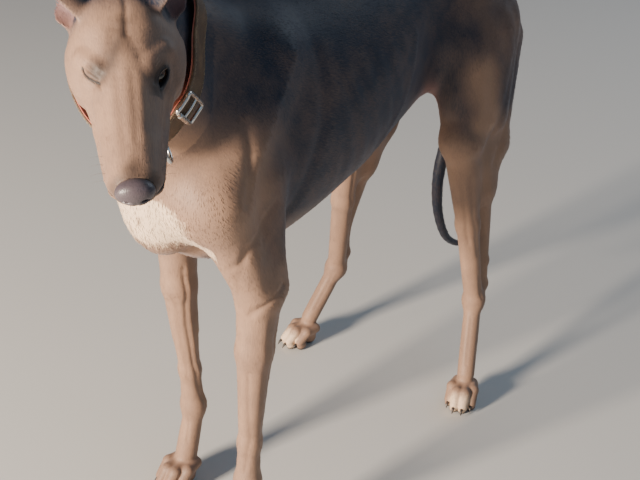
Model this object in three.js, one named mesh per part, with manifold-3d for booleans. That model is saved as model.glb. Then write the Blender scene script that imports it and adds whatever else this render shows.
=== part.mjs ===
// Standing greyhound at life size, turned a little to its own left, wearing a broad collar.
// Millimetres, +Z up, the animal faces -Y and its left side is +X, soles on z = 0.
import * as THREE from 'three';
import Module from 'manifold-3d';

const wasm = await Module();
wasm.setup();

// Overall sizes
const GAP = 0.3;                 // clear cut left between two nodes
const WITHERS = 702;             // height of the shoulder top
const CHEST_WIDTH = 186;         // widest rib cage
const WAIST_WIDTH = 128;         // narrowest loin
const ELBOW_HEIGHT = 385;
const CARPUS_HEIGHT = 118;
const STIFLE_HEIGHT = 425;
const HOCK_HEIGHT = 150;
const HEAD_TURN = 46.4;           // degrees, head turned to its left
const HEAD_NOD = 28;          // degrees, nose below the horizontal
const HEAD_ROLL = -6.2;          // degrees, left side down
const EYE_MID = [111, -219, 715]; // point midway between the eyes
const EYE_SPACING = 62;
const EYE_RADIUS = 10.5;

// Small vector helpers
const V = (x, y, z) => [x, y, z];
const add = (a, b) => [a[0] + b[0], a[1] + b[1], a[2] + b[2]];
const sub = (a, b) => [a[0] - b[0], a[1] - b[1], a[2] - b[2]];
const mul = (a, s) => [a[0] * s, a[1] * s, a[2] * s];
const dot = (a, b) => a[0] * b[0] + a[1] * b[1] + a[2] * b[2];
const cross = (a, b) => [a[1] * b[2] - a[2] * b[1], a[2] * b[0] - a[0] * b[2], a[0] * b[1] - a[1] * b[0]];
const len = (a) => Math.hypot(a[0], a[1], a[2]);
const unit = (a) => mul(a, 1 / len(a));
const mix = (a, b, t) => a + (b - a) * t;
const mixV = (a, b, t) => [mix(a[0], b[0], t), mix(a[1], b[1], t), mix(a[2], b[2], t)];
const clamp = (x, lo, hi) => Math.min(hi, Math.max(lo, x));
const rad = (d) => d * Math.PI / 180;
const count = (n) => [...Array(n).keys()];
// Evenly spaced angles round a circle
const angles = (n) => count(n).map((i) => 2 * Math.PI * i / n);

// A frame is an origin with left, forward and up directions
function makeFrame(origin, left, forward, up) {
  return {
    origin, left, forward, up,
    out: (l, f, u) => add(origin, add(add(mul(left, l), mul(forward, f)), mul(up, u))),
    into: (p) => { const q = sub(p, origin); return [dot(q, left), dot(q, forward), dot(q, up)]; },
  };
}

function turnedFrame(origin, turn, nod, roll) {
  const ct = Math.cos(rad(turn)), st = Math.sin(rad(turn));
  const cn = Math.cos(rad(nod)), sn = Math.sin(rad(nod));
  const forward = [st * cn, -ct * cn, -sn];
  const flat = [ct, st, 0];
  const rise = cross(forward, flat);
  const cr = Math.cos(rad(roll)), sr = Math.sin(rad(roll));
  const left = sub(mul(flat, cr), mul(rise, sr));
  return makeFrame(origin, left, forward, cross(forward, left));
}

const WORLD = makeFrame([0, 0, 0], [1, 0, 0], [0, 1, 0], [0, 0, 1]);
const HEAD = turnedFrame(EYE_MID, HEAD_TURN, HEAD_NOD, HEAD_ROLL);

// Distance-like shapes: negative inside, millimetres. Each carries a ball that holds it.
function held(f, c, r) {
  return Object.assign(f, { c, r });
}

function cone(a, b, ra, rb) {
  const ba = sub(b, a), l2 = dot(ba, ba), rr = ra - rb;
  const a2 = l2 - rr * rr, il2 = 1 / l2;
  return held((p) => {
    const px = p[0] - a[0], py = p[1] - a[1], pz = p[2] - a[2];
    const y = px * ba[0] + py * ba[1] + pz * ba[2], z = y - l2;
    const wx = px * l2 - ba[0] * y, wy = py * l2 - ba[1] * y, wz = pz * l2 - ba[2] * y;
    const x2 = wx * wx + wy * wy + wz * wz, y2 = y * y * l2, z2 = z * z * l2;
    const k = Math.sign(rr) * rr * rr * x2;
    if (Math.sign(z) * a2 * z2 > k) return Math.sqrt(x2 + z2) * il2 - rb;
    if (Math.sign(y) * a2 * y2 < k) return Math.sqrt(x2 + y2) * il2 - ra;
    return (Math.sqrt(x2 * a2 * il2) + y * rr) * il2 - ra;
  }, mixV(a, b, 0.5), len(ba) / 2 + Math.max(ra, rb));
}

function ball(c, r) {
  return held((p) => Math.hypot(p[0] - c[0], p[1] - c[1], p[2] - c[2]) - r, c, r);
}

function egg(c, r, frame = WORLD) {
  const { left, forward, up } = frame;
  return held((p) => {
    const q = sub(p, c);
    const x = dot(q, left) / r[0], y = dot(q, forward) / r[1], z = dot(q, up) / r[2];
    const k0 = Math.sqrt(x * x + y * y + z * z);
    const k1 = Math.sqrt((x / r[0]) ** 2 + (y / r[1]) ** 2 + (z / r[2]) ** 2);
    return k1 > 1e-9 ? k0 * (k0 - 1) / k1 : -Math.min(r[0], r[1], r[2]);
  }, c, Math.max(...r));
}

// Thin fold of skin: a triangle with a rounded edge
function fold(a, b, c, r) {
  const ba = sub(b, a), cb = sub(c, b), ac = sub(a, c), nor = cross(ba, ac);
  const edges = [[a, ba], [b, cb], [c, ac]].map(([o, e]) => [o, e, cross(e, nor), 1 / dot(e, e)]);
  const mid = mul(add(add(a, b), c), 1 / 3), n2 = dot(nor, nor);
  return held((p) => {
    let inside = 0, best = 1e9;
    for (const [o, e, side, il] of edges) {
      const q = sub(p, o);
      inside += Math.sign(dot(side, q));
      const w = sub(mul(e, clamp(dot(e, q) * il, 0, 1)), q);
      best = Math.min(best, dot(w, w));
    }
    if (inside >= 2) best = dot(nor, sub(p, a)) ** 2 / n2;
    return Math.sqrt(best) - r;
  }, mid, Math.max(len(sub(a, mid)), len(sub(b, mid)), len(sub(c, mid))) + r);
}

// Smooth value through table rows [t, v1, v2, ...]
function table(rows) {
  const n = rows.length;
  return (t) => {
    if (t <= rows[0][0]) return rows[0].slice(1);
    if (t >= rows[n - 1][0]) return rows[n - 1].slice(1);
    let i = 0;
    while (t > rows[i + 1][0]) i++;
    const a = rows[i], b = rows[i + 1], h = b[0] - a[0], s = (t - a[0]) / h;
    const s2 = s * s, s3 = s2 * s;
    const out = [];
    for (let c = 1; c < a.length; c++) {
      const slope = (j) => {
        if (j <= 0) return (rows[1][c] - rows[0][c]) / (rows[1][0] - rows[0][0]);
        if (j >= n - 1) return (rows[n - 1][c] - rows[n - 2][c]) / (rows[n - 1][0] - rows[n - 2][0]);
        return (rows[j + 1][c] - rows[j - 1][c]) / (rows[j + 1][0] - rows[j - 1][0]);
      };
      out.push((2 * s3 - 3 * s2 + 1) * a[c] + (s3 - 2 * s2 + s) * h * slope(i)
        + (3 * s2 - 2 * s3) * b[c] + (s3 - s2) * h * slope(i + 1));
    }
    return out;
  };
}

// Body lofted through rows [t, top, bottom, half width, height of the widest line]
function loft(rows, frame, capA, capB, roundTop, roundBottom) {
  const at = table(rows);
  const t0 = rows[0][0], t1 = rows[rows.length - 1][0];
  return (p) => {
    const [l, t, u] = frame.into(p);
    const [top, bottom, half, wide] = at(t);
    const du = u - wide;
    const b = du > 0 ? top - wide : wide - bottom;
    const n = du > 0 ? roundTop : roundBottom;
    const over = t < t0 ? (t0 - t) / capA : t > t1 ? (t - t1) / capB : 0;
    let rho = Math.pow(Math.pow(Math.abs(l) / half, n) + Math.pow(Math.abs(du) / b, n), 1 / n);
    const r = Math.hypot(l, du);
    const reach = rho > 1e-6 ? r / rho : Math.min(half, b);
    if (over > 0) rho = Math.hypot(rho, over);
    return (rho - 1) * Math.min(reach, 1.3 * Math.min(half, b));
  };
}

const join = (a, b, k) => {
  const h = Math.max(k - Math.abs(a - b), 0) / k;
  return Math.min(a, b) - h * h * k / 4;
};

// Torso profile rows: y, top, bottom, half width, widest height
const H = CHEST_WIDTH / 2, L = WAIST_WIDTH / 2;
const TORSO_ROWS = [
  [-52, 640, 448, 46, 540],
  [-20, 672, 416, 74, 550],
  [30, WITHERS - 8, 395, H - 10, 545],
  [90, WITHERS, 389, H - 2, 540],
  [160, WITHERS - 5, 396, H, 548],
  [240, WITHERS - 3, 412, H - 2, 562],
  [310, WITHERS + 3, 428, H - 10, 582],
  [380, WITHERS + 5, 446, L + 6, 600],
  [440, WITHERS + 2, 468, L, 608],
  [500, WITHERS - 14, 490, L + 4, 600],
  [560, WITHERS - 36, 505, L + 6, 590],
  [610, WITHERS - 66, 520, L - 4, 575],
];

const HEAD_ROWS = [
  [-96, 20, -34, 34, -6],
  [-70, 31, -50, 44, -10],
  [-38, 34, -57, 49, -15],
  [-8, 28, -54, 44.5, -24],
  [18, 19, -47, 37.5, -26],
  [48, 13, -39, 30.5, -18],
  [82, 9, -34, 26, -12],
  [108, 7, -29, 22.5, -10],
  [120, 4, -25, 18, -10],
];

const flesh = [];
const put = (k, ...shapes) => shapes.forEach((s) => flesh.push([k, s]));

put(1, loft(TORSO_ROWS, WORLD, 42, 62, 2.1, 1.9));
// Breast and sternum point
put(40, egg(V(4, -58, 518), V(48, 44, 72)));
// Loin and croup muscles
put(30, egg(V(0, 580, 600), V(62, 62, 52)));

// Neck: crest above, windpipe side below
const neckStart = flesh.length;
put(45, cone(V(0, 60, 640), V(6, -30, 684), 50, 45));
put(30, cone(V(6, -30, 684), V(44, -134, 744), 45, 38));
put(40, cone(V(6, -30, 560), V(22, -84, 636), 62, 48));
put(30, cone(V(22, -84, 636), V(50, -136, 702), 48, 40));
const neckFlesh = flesh.slice(neckStart);

const sides = [
  { name: 'left', s: 1,
    blade: V(50, 66, 650), shoulder: V(70, -50, 518), elbow: V(86, 8, ELBOW_HEIGHT),
    carpus: V(82, 0, CARPUS_HEIGHT), knuckle: V(82, -15, 46), fore: V(0.03, -1, 0),
    hip: V(58, 545, 575), stifle: V(84, 474, STIFLE_HEIGHT), hock: V(104, 528, HOCK_HEIGHT),
    ball: V(127, 484, 46), hind: V(0.32, -0.95, 0) },
  { name: 'right', s: -1,
    blade: V(-50, 80, 650), shoulder: V(-63, -12, 512), elbow: V(-88, 62, ELBOW_HEIGHT),
    carpus: V(-78, 82, CARPUS_HEIGHT), knuckle: V(-79, 68, 46), fore: V(-0.03, -1, 0),
    hip: V(-58, 540, 575), stifle: V(-88, 448, STIFLE_HEIGHT - 10), hock: V(-139, 507, HOCK_HEIGHT - 20),
    ball: V(-160, 468, 46), hind: V(-0.36, -0.93, 0) },
];

// Hare foot: two long middle toes, two shorter outer ones, pads below
const TOES = [[-17.5, 30], [-6.5, 44], [6.5, 44], [17.5, 30]];
const TOE_RADIUS = 9;
function paw(base, dir, size) {
  const f = unit(dir), w = unit(cross(f, V(0, 0, 1)));
  const floorPoint = V(base[0], base[1], 0);
  const at = (a, b, z) => add(floorPoint, mul(add(add(mul(f, a), mul(w, b)), V(0, 0, z)), size));
  put(8, egg(at(6, 0, 25), V(19 * size, 20 * size, 19 * size)));
  put(5, egg(at(3, 0, 10), V(15 * size, 14 * size, 12 * size)));
  const claws = [];
  for (const [side, lead] of TOES) {
    const r = TOE_RADIUS * size;
    put(3, cone(at(lead - 34, side * 0.72, 31), at(lead - 13, side, 31), r, r));
    put(2, cone(at(lead - 13, side, 31), at(lead + 2, side * 1.04, 15), r, r * 0.88));
    put(2, egg(at(lead - 3, side * 1.02, 8), V(7.5 * size, 10 * size, 9 * size)));
    const claw = [[4, 1.05, 15], [12, 1.08, 12], [16, 1.1, 6]];
    claws.push(claw.map(([ahead, spread, z]) => at(lead + ahead, side * spread, z)));
  }
  return claws;
}

for (const leg of sides) {
  const { s, blade, shoulder, elbow, carpus, knuckle, hip, stifle, hock } = leg;
  const heel = add(elbow, V(3 * s, 26, 2));
  // Shoulder blade, upper arm and the long muscle behind it
  put(40, cone(blade, shoulder, 26, 35));
  put(30, cone(shoulder, elbow, 34, 25));
  put(30, cone(V(70 * s, (shoulder[1] + elbow[1]) / 2 + 42, 520), heel, 34, 15));
  put(14, cone(heel, mixV(elbow, carpus, 0.62), 14, 10));
  // Forearm
  const belly = add(mixV(elbow, carpus, 0.28), V(1 * s, -3, 0));
  put(14, cone(elbow, belly, 26, 22));
  put(10, cone(belly, mixV(elbow, carpus, 0.78), 22, 15));
  put(10, cone(mixV(elbow, carpus, 0.78), carpus, 15, 16.5));
  put(8, egg(carpus, V(19, 17, 21)));
  put(6, ball(add(carpus, V(0, 17, -12)), 8));
  put(8, cone(add(carpus, V(0, -1, -16)), knuckle, 14.5, 15.5));
  leg.foreClaws = paw(knuckle, leg.fore, 1);
  // Haunch
  put(30, cone(V(46 * s, hip[1] - 40, 620), V(46 * s, hip[1] + 30, 600), 40, 34));
  put(30, cone(V(60 * s, hip[1] - 55, 560), add(stifle, V(0, 6, 10)), 44, 32));
  put(30, cone(V(54 * s, hip[1] + 58, 545), add(stifle, V(3 * s, 84, -22)), 41, 25));
  put(30, cone(hip, add(stifle, V(0, 55, 30)), 56, 36));
  put(14, egg(add(stifle, V(0, -14, 4)), V(25, 22, 30)));
  // Lower thigh with the tendon to the point of the hock
  const point = add(hock, V(0, 22, 20));
  const shank = unit(sub(hock, stifle));
  const calf = add(add(stifle, mul(shank, 85)), V(0, 38, 0));
  put(14, cone(stifle, mixV(stifle, hock, 0.5), 28, 18));
  put(10, cone(mixV(stifle, hock, 0.5), hock, 18, 15));
  put(20, cone(add(stifle, V(0, 45, -30)), calf, 30, 23));
  put(24, cone(add(stifle, V(3 * s, 82, -27)), add(calf, V(0, 4, -6)), 24, 19));
  put(14, cone(calf, add(point, V(0, -2, 42)), 23, 8));
  put(8, cone(add(point, V(0, -2, 42)), point, 8, 9));
  const shin = mixV(stifle, hock, 0.45);
  put(8, fold(shin, calf, point, 4.5), fold(shin, point, hock, 4.5));
  put(8, cone(point, hock, 10, 14));
  put(8, egg(hock, V(17, 18, 20)));
  put(8, cone(hock, leg.ball, 14, 13.5));
  leg.hindClaws = paw(leg.ball, leg.hind, 0.94);
}

// Head
put(8, loft(HEAD_ROWS, HEAD, 16, 9, 2.0, 2.0));
const EYE_AT = (s) => HEAD.out((EYE_SPACING / 2 - 5.5) * s, -2, -1);
const EYE_AIM = (s) => unit(add(add(mul(HEAD.left, 0.56 * s), mul(HEAD.forward, 0.68)), mul(HEAD.up, 0.47)));
for (const s of [1, -1]) {
  put(14, egg(HEAD.out(40 * s, -36, -26), V(12, 34, 28), HEAD));
  put(8, cone(HEAD.out(20 * s, 2, 11), HEAD.out(36 * s, -20, 6), 7, 8));
  put(6, ball(EYE_AT(s), EYE_RADIUS + 2.2));
  put(10, cone(HEAD.out(19 * s, 44, -28), HEAD.out(14 * s, 104, -22), 12, 10));
}

// Tail
const TAIL = [
  [0, 636, 598, 26], [0, 662, 552, 19], [2, 654, 486, 15], [2, 610, 408, 12.5],
  [1, 572, 336, 10.5], [0, 574, 266, 9], [0, 606, 200, 7.5], [0, 652, 164, 6], [0, 694, 152, 4.5],
];
for (let i = 0; i + 1 < TAIL.length; i++) {
  const a = TAIL[i], b = TAIL[i + 1];
  put(i ? 6 : 24, cone(a.slice(0, 3), b.slice(0, 3), a[3], b[3]));
}

const body = (p) => {
  let d = 1e3;
  for (const [k, f] of flesh) {
    if (f.c) {
      const far = Math.hypot(p[0] - f.c[0], p[1] - f.c[1], p[2] - f.c[2]) - f.r;
      if (far > d + k) continue;
    }
    d = join(d, f(p), k);
  }
  return d;
};

// Closed surface of a field inside a box, from a grid of the given spacing
const CORNERS = [0, 1, 2, 3, 4, 5, 6, 7].map((c) => [c & 1, (c >> 1) & 1, (c >> 2) & 1]);
const EDGES = [];
for (let a = 0; a < 8; a++) for (const bit of [1, 2, 4]) if (!(a & bit)) EDGES.push([a, a | bit]);
const FACES = [[0, 1, 3, 2], [4, 5, 7, 6], [0, 1, 5, 4], [2, 3, 7, 6], [0, 2, 6, 4], [1, 3, 7, 5]];
const edgeOf = (a, b) => EDGES.findIndex(([p, q]) => (p === a && q === b) || (p === b && q === a));
const PATCHES = [];
for (let code = 0; code < 256; code++) {
  const parent = EDGES.map((_, i) => i);
  const root = (i) => { while (parent[i] !== i) i = parent[i]; return i; };
  const inside = (c) => (code >> c) & 1;
  for (const f of FACES) {
    const ring = f.map((c, i) => edgeOf(c, f[(i + 1) % 4]));
    const cut = ring.filter((e) => inside(EDGES[e][0]) !== inside(EDGES[e][1]));
    if (cut.length === 2) parent[root(cut[0])] = root(cut[1]);
    if (cut.length === 4) {
      f.forEach((c, i) => { if (inside(c)) parent[root(ring[i])] = root(ring[(i + 3) % 4]); });
    }
  }
  const label = new Map();
  PATCHES.push(EDGES.map(([a, b], e) => {
    if (inside(a) === inside(b)) return -1;
    const r = root(e);
    if (!label.has(r)) label.set(r, label.size);
    return label.get(r);
  }));
}

function surface(field, lo, hi, step, frame = WORLD) {
  const n = [0, 1, 2].map((i) => Math.ceil((hi[i] - lo[i]) / step[i]) + 1);
  const idx = (i, j, k) => (k * n[1] + j) * n[0] + i;
  const val = new Float64Array(n[0] * n[1] * n[2]);
  const where = (i, j, k) => [lo[0] + i * step[0], lo[1] + j * step[1], lo[2] + k * step[2]];
  const world = (q) => frame.out(q[0], q[1], q[2]);
  for (let k = 0; k < n[2]; k++) for (let j = 0; j < n[1]; j++) for (let i = 0; i < n[0]; i++) {
    const rim = i === 0 || j === 0 || k === 0 || i === n[0] - 1 || j === n[1] - 1 || k === n[2] - 1;
    const v = field(world(where(i, j, k)));
    val[idx(i, j, k)] = rim ? Math.max(v, 0.5) : (v === 0 ? 1e-6 : v);
  }
  const verts = [], cells = new Map();
  const local = (q) => field(world(q));
  for (let k = 0; k + 1 < n[2]; k++) for (let j = 0; j + 1 < n[1]; j++) for (let i = 0; i + 1 < n[0]; i++) {
    const v = CORNERS.map((c) => val[idx(i + c[0], j + c[1], k + c[2])]);
    let code = 0;
    v.forEach((x, c) => { if (x < 0) code |= 1 << c; });
    if (code === 0 || code === 255) continue;
    const patch = PATCHES[code], count = Math.max(...patch) + 1, ids = [];
    const rim = i === 0 || j === 0 || k === 0 || i === n[0] - 2 || j === n[1] - 2 || k === n[2] - 2;
    for (let g = 0; g < count; g++) {
      let sum = [0, 0, 0], m = 0;
      EDGES.forEach(([a, b], e) => {
        if (patch[e] !== g) return;
        const t = v[a] / (v[a] - v[b]);
        sum = add(sum, mixV(CORNERS[a], CORNERS[b], t));
        m++;
      });
      let q = mul(sum, 1 / m);
      q = [lo[0] + (i + q[0]) * step[0], lo[1] + (j + q[1]) * step[1], lo[2] + (k + q[2]) * step[2]];
      if (!rim) {
        const start = q, limit = 0.45;
        for (let it = 0; it < 4; it++) {
          const f0 = local(q), e = 0.2;
          const gr = [0, 1, 2].map((a) => { const r = q.slice(); r[a] += e; return (local(r) - f0) / e; });
          const g2 = Math.max(dot(gr, gr), 0.05);
          q = sub(q, mul(gr, f0 / g2));
          q = q.map((x, a) => clamp(x, start[a] - limit * step[a], start[a] + limit * step[a]));
        }
      }
      ids.push(verts.length);
      verts.push(world(q));
    }
    cells.set(idx(i, j, k), [patch, ids]);
  }
  const tris = [];
  const vertexAt = (i, j, k, e) => { const c = cells.get(idx(i, j, k)); return c[1][c[0][e]]; };
  const quad = (a, b, c, d) => {
    if (len(sub(verts[a], verts[c])) <= len(sub(verts[b], verts[d]))) tris.push([a, b, c], [a, c, d]);
    else tris.push([b, c, d], [b, d, a]);
  };
  const around = [[0, 1, 2], [1, 2, 0], [2, 0, 1]];
  for (let k = 0; k + 1 < n[2]; k++) for (let j = 0; j + 1 < n[1]; j++) for (let i = 0; i + 1 < n[0]; i++) {
    const base = [i, j, k];
    for (const [a, b, c] of around) {
      if (base[b] === 0 || base[c] === 0) continue;
      const next = base.slice();
      next[a]++;
      const v0 = val[idx(...base)], v1 = val[idx(...next)];
      if ((v0 < 0) === (v1 < 0)) continue;
      const ring = [[1, 1], [0, 1], [0, 0], [1, 0]].map(([db, dc]) => {
        const cell = base.slice();
        cell[b] -= db;
        cell[c] -= dc;
        const c0 = (db << b) | (dc << c);
        return vertexAt(cell[0], cell[1], cell[2], edgeOf(c0, c0 | (1 << a)));
      });
      if (v0 < 0) quad(...ring);
      else quad(ring[3], ring[2], ring[1], ring[0]);
    }
  }
  const mirrored = dot(cross(frame.left, frame.forward), frame.up) < 0;
  return { verts, tris: mirrored ? tris.map(([a, b, c]) => [a, c, b]) : tris };
}

function solid({ verts, tris }) {
  const vertProperties = new Float32Array(verts.flat());
  const triVerts = new Uint32Array(tris.flat());
  return new wasm.Manifold(new wasm.Mesh({ numProp: 3, vertProperties, triVerts }));
}

// Solid of a field; the grid is nudged until the surface is a clean closed one
function grown(field, lo, hi, step, frame = WORLD) {
  for (const nudge of [0, 0.31, 0.57, 0.83]) {
    const shift = step.map((s) => s * nudge * 0.37);
    try {
      const s = solid(surface(field, lo.map((x, i) => x - shift[i]), hi, step, frame));
      if (s.status() === 'NoError' || s.status().value === 0) return largest(s);
    } catch (unclosed) {
      continue;
    }
  }
  throw new Error('surface did not close');
}

function largest(s) {
  const bits = s.decompose();
  if (bits.length < 2) return s;
  bits.sort((a, b) => b.volume() - a.volume());
  return bits[0];
}

// Six-sided block from eight corners, bottom ring then top ring, each counter-clockwise from above
function block(c) {
  const tris = [[0, 2, 1], [0, 3, 2], [4, 5, 6], [4, 6, 7]];
  for (let i = 0; i < 4; i++) {
    const j = (i + 1) % 4;
    tris.push([i, j, j + 4], [i, j + 4, i + 4]);
  }
  return solid({ verts: c, tris });
}

// The half space on the side the normal points to, as a very large block
const FAR = 4000;
function half(point, normal, shift = 0) {
  const n = unit(normal);
  const a = unit(Math.abs(n[2]) < 0.9 ? cross(n, [0, 0, 1]) : cross(n, [1, 0, 0]));
  const b = cross(n, a);
  const p = add(point, mul(n, shift));
  const square = [[-1, -1], [1, -1], [1, 1], [-1, 1]];
  const ring = square.map(([x, y]) => add(p, add(mul(a, x * FAR), mul(b, y * FAR))));
  return block([...ring, ...ring.map((q) => add(q, mul(n, FAR)))]);
}

const group = new THREE.Group();
group.name = 'greyhound';
const COLOURS = { coat: 0x6f625e, nose: 0x4a4449, eye: 0x1c1512, leather: 0x7a4a30, metal: 0xc8c8cc };

function addNode(name, s, colour) {
  const m = s.getMesh();
  const stride = m.numProp;
  const pos = new Float32Array(m.vertProperties.length / stride * 3);
  for (let i = 0; i < pos.length / 3; i++) {
    for (let c = 0; c < 3; c++) pos[i * 3 + c] = m.vertProperties[i * stride + c];
  }
  const g = new THREE.BufferGeometry();
  g.setAttribute('position', new THREE.BufferAttribute(pos, 3));
  g.setIndex(new THREE.BufferAttribute(new Uint32Array(m.triVerts), 1));
  g.computeVertexNormals();
  const mesh = new THREE.Mesh(g, new THREE.MeshStandardMaterial({ color: colour, roughness: 0.8 }));
  mesh.name = name;
  group.add(mesh);
}

// Level cuts through the legs
const ELBOW_CUT = 366;
const KNEE_CUT = 372;
const HOCK_CUT = 198;
const PAW_TOP = 60;

// Cuts between nodes: point and normal towards the first-named side
const NECK_CUT = [V(0, -42, 628), unit(V(0.08, -0.68, 0.73))];
const HEAD_BACK = [HEAD.out(0, -80, 0), unit(add(mul(HEAD.forward, 0.92), mul(HEAD.up, 0.4)))];
const LOIN_CUT = [V(0, 285, 560), V(0, 1, 0)];
const CROUP_CUT = [V(0, 462, 560), V(0, 1, 0)];
const TAIL_CUT = [V(0, 655, 590), unit(V(0, 0.75, -0.66))];

const keep = (s, cut) => s.intersect(half(cut[0], cut[1], GAP / 2));
const drop = (s, cut) => s.intersect(half(cut[0], mul(cut[1], -1), GAP / 2));

// Blocks that part each leg from the trunk, grown by g all round; inner is [x at the floor, x at the top]
const LEG_REACH = 300;
const LEG_SINK = 60;
function legBlock(side, g, inner, front, back, top) {
  const ring = (x, z) => {
    const at = [[x - g, front - g], [LEG_REACH, front - g], [LEG_REACH, back + g], [x - g, back + g]];
    const level = at.map(([across, y]) => V(side * across, y, z));
    return side > 0 ? level : level.reverse();
  };
  return block([...ring(inner[0], -LEG_SINK), ...ring(inner[1], top + g)]);
}
const foreBlock = (s, g) => legBlock(s, g, [46, 64], -105, s > 0 ? 106 : 150, 560);
const hindBlock = (s, g) => legBlock(s, g, [30, 52], s > 0 ? 418 : 392, 720, 612);

// Round bar along points with a radius at each
function bar(points, radii, facets) {
  const n = points.length;
  const rings = points.map((c, i) => {
    const t = unit(sub(points[Math.min(i + 1, n - 1)], points[Math.max(i - 1, 0)]));
    const a = unit(Math.abs(t[2]) < 0.9 ? cross(t, [0, 0, 1]) : cross(t, [1, 0, 0]));
    return circle(c, a, cross(t, a), radii[i], facets);
  });
  return capped(rings, points[0], points[n - 1]);
}

// Points of a circle about c in the plane of a and b
function circle(c, a, b, r, facets) {
  return angles(facets).map((g) => add(c, add(mul(a, Math.cos(g) * r), mul(b, Math.sin(g) * r))));
}

// Solid through rings of points, closed by a fan at each end
function capped(rings, first, last) {
  const m = rings[0].length, n = rings.length, tris = [];
  const verts = [...rings.flat(), first, last];
  const a = verts.length - 2, b = a + 1, end = (n - 1) * m;
  for (let j = 0; j < m; j++) {
    const k = (j + 1) % m;
    for (let p = 0; p < end; p += m) tris.push([p + j, p + k, p + m + k], [p + j, p + m + k, p + m + j]);
    tris.push([a, k, j], [b, end + j, end + k]);
  }
  return facingOut(verts, tris);
}

// Ball of level bands and columns
function globe(c, r, bands, columns) {
  const rings = count(bands - 1).map((i) => {
    const rise = Math.PI * (i + 1) / bands - Math.PI / 2;
    return circle(add(c, V(0, 0, r * Math.sin(rise))), V(1, 0, 0), V(0, 1, 0), r * Math.cos(rise), columns);
  });
  return capped(rings, sub(c, V(0, 0, r)), add(c, V(0, 0, r)));
}

// Almond-shaped opening between the lids, along the aim of the eye
const LID_FACETS = 14;
const LID_TAPER = 0.3;
const LID_DEPTH = 4;
function lidOpening(s, width, height) {
  const n = EYE_AIM(s);
  const slope = add(add(mul(HEAD.left, 0.8 * s), mul(HEAD.forward, -0.5)), mul(HEAD.up, 0.36));
  const a = unit(sub(slope, mul(n, dot(slope, n)))), b = cross(n, a);
  const ring = angles(LID_FACETS).map((g) => {
    const rise = Math.sin(g) * Math.pow(Math.abs(Math.sin(g)), LID_TAPER);
    return add(mul(a, Math.cos(g) * width / 2), mul(b, rise * height / 2));
  });
  return rod(ring, add(EYE_AT(s), mul(n, EYE_RADIUS - LID_DEPTH)), mul(n, 4 * LID_DEPTH));
}

// Straight prism: ring of offsets about c, swept along way
function rod(ring, c, way) {
  const near = ring.map((q) => add(c, q));
  return capped([near, near.map((q) => add(q, way))], c, add(c, way));
}

// Ear: a curled sheet along a folded path, s gives the side
const EAR_PATH = [
  [33, -62, 6], [42, -67, 13], [54, -75, 19], [64, -89, 21], [67, -109, 15], [63, -130, 4], [57, -147, -7],
];
const EAR_WIDTH = [28, 33, 37, 36, 30, 20, 7];
const EAR_CURL = [118, 112, 100, 84, 70, 60, 50];
const EAR_THICK = 2.6;
const EAR_COLUMNS = 9;
const EAR_RIM_SLACK = 1.2;
function ear(s, grow) {
  const m = EAR_COLUMNS, verts = [], tris = [], n = EAR_PATH.length;
  const path = EAR_PATH.map((q) => HEAD.out(q[0] * s, q[1], q[2]));
  const face = unit(add(add(mul(HEAD.left, 0.55 * s), mul(HEAD.forward, 0.8)), mul(HEAD.up, -0.1)));
  path.forEach((c, i) => {
    const t = unit(sub(path[Math.min(i + 1, n - 1)], path[Math.max(i - 1, 0)]));
    const turn = clamp((i - 2) / 3, 0, 1);
    const flap = add(mul(HEAD.left, 0.75 * s), mul(HEAD.up, -0.65));
    const want = unit(add(mul(face, 1 - turn), mul(flap, turn)));
    const open = unit(sub(want, mul(t, dot(want, t)))), wide = mul(cross(t, open), s);
    for (const skin of [EAR_THICK / 2 + grow, -EAR_THICK / 2 - grow]) for (let j = 0; j < m; j++) {
      const across = 2 * j / (m - 1) - 1, g = rad(EAR_CURL[i]) * across, r = EAR_WIDTH[i] / 2 + skin;
      const spread = grow * across * EAR_RIM_SLACK * Math.cos(g);
      verts.push(add(c, add(mul(wide, Math.sin(g) * r + spread), mul(open, -Math.cos(g) * r))));
    }
  });
  const at = (i, skin, j) => i * 2 * m + skin * m + j;
  const quad = (a, b, c, d) => tris.push([a, b, c], [a, c, d]);
  for (let i = 0; i + 1 < n; i++) {
    for (let j = 0; j + 1 < m; j++) {
      quad(at(i, 0, j), at(i, 0, j + 1), at(i + 1, 0, j + 1), at(i + 1, 0, j));
      quad(at(i, 1, j + 1), at(i, 1, j), at(i + 1, 1, j), at(i + 1, 1, j + 1));
    }
    quad(at(i, 1, 0), at(i, 0, 0), at(i + 1, 0, 0), at(i + 1, 1, 0));
    quad(at(i, 0, m - 1), at(i, 1, m - 1), at(i + 1, 1, m - 1), at(i + 1, 0, m - 1));
  }
  for (let j = 0; j + 1 < m; j++) {
    quad(at(0, 1, j), at(0, 1, j + 1), at(0, 0, j + 1), at(0, 0, j));
    quad(at(n - 1, 0, j), at(n - 1, 0, j + 1), at(n - 1, 1, j + 1), at(n - 1, 1, j));
  }
  return facingOut(verts, tris);
}

// Distance from a point to the skin along a direction
function reach(field, from, way, most) {
  let lo = 0, hi = most;
  for (let i = 0; i < 24; i++) {
    const mid = (lo + hi) / 2;
    if (field(add(from, mul(way, mid))) < 0) lo = mid; else hi = mid;
  }
  return lo;
}

// Distance from a point to the first way out of a field
const EXIT_STEP = 1.5;
function exit(field, from, way) {
  let r = 1;
  while (field(add(from, mul(way, r + EXIT_STEP))) < 0 && r < 2 * CHEST_WIDTH) r += EXIT_STEP;
  return r + reach(field, add(from, mul(way, r)), way, 2 * EXIT_STEP);
}

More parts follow.
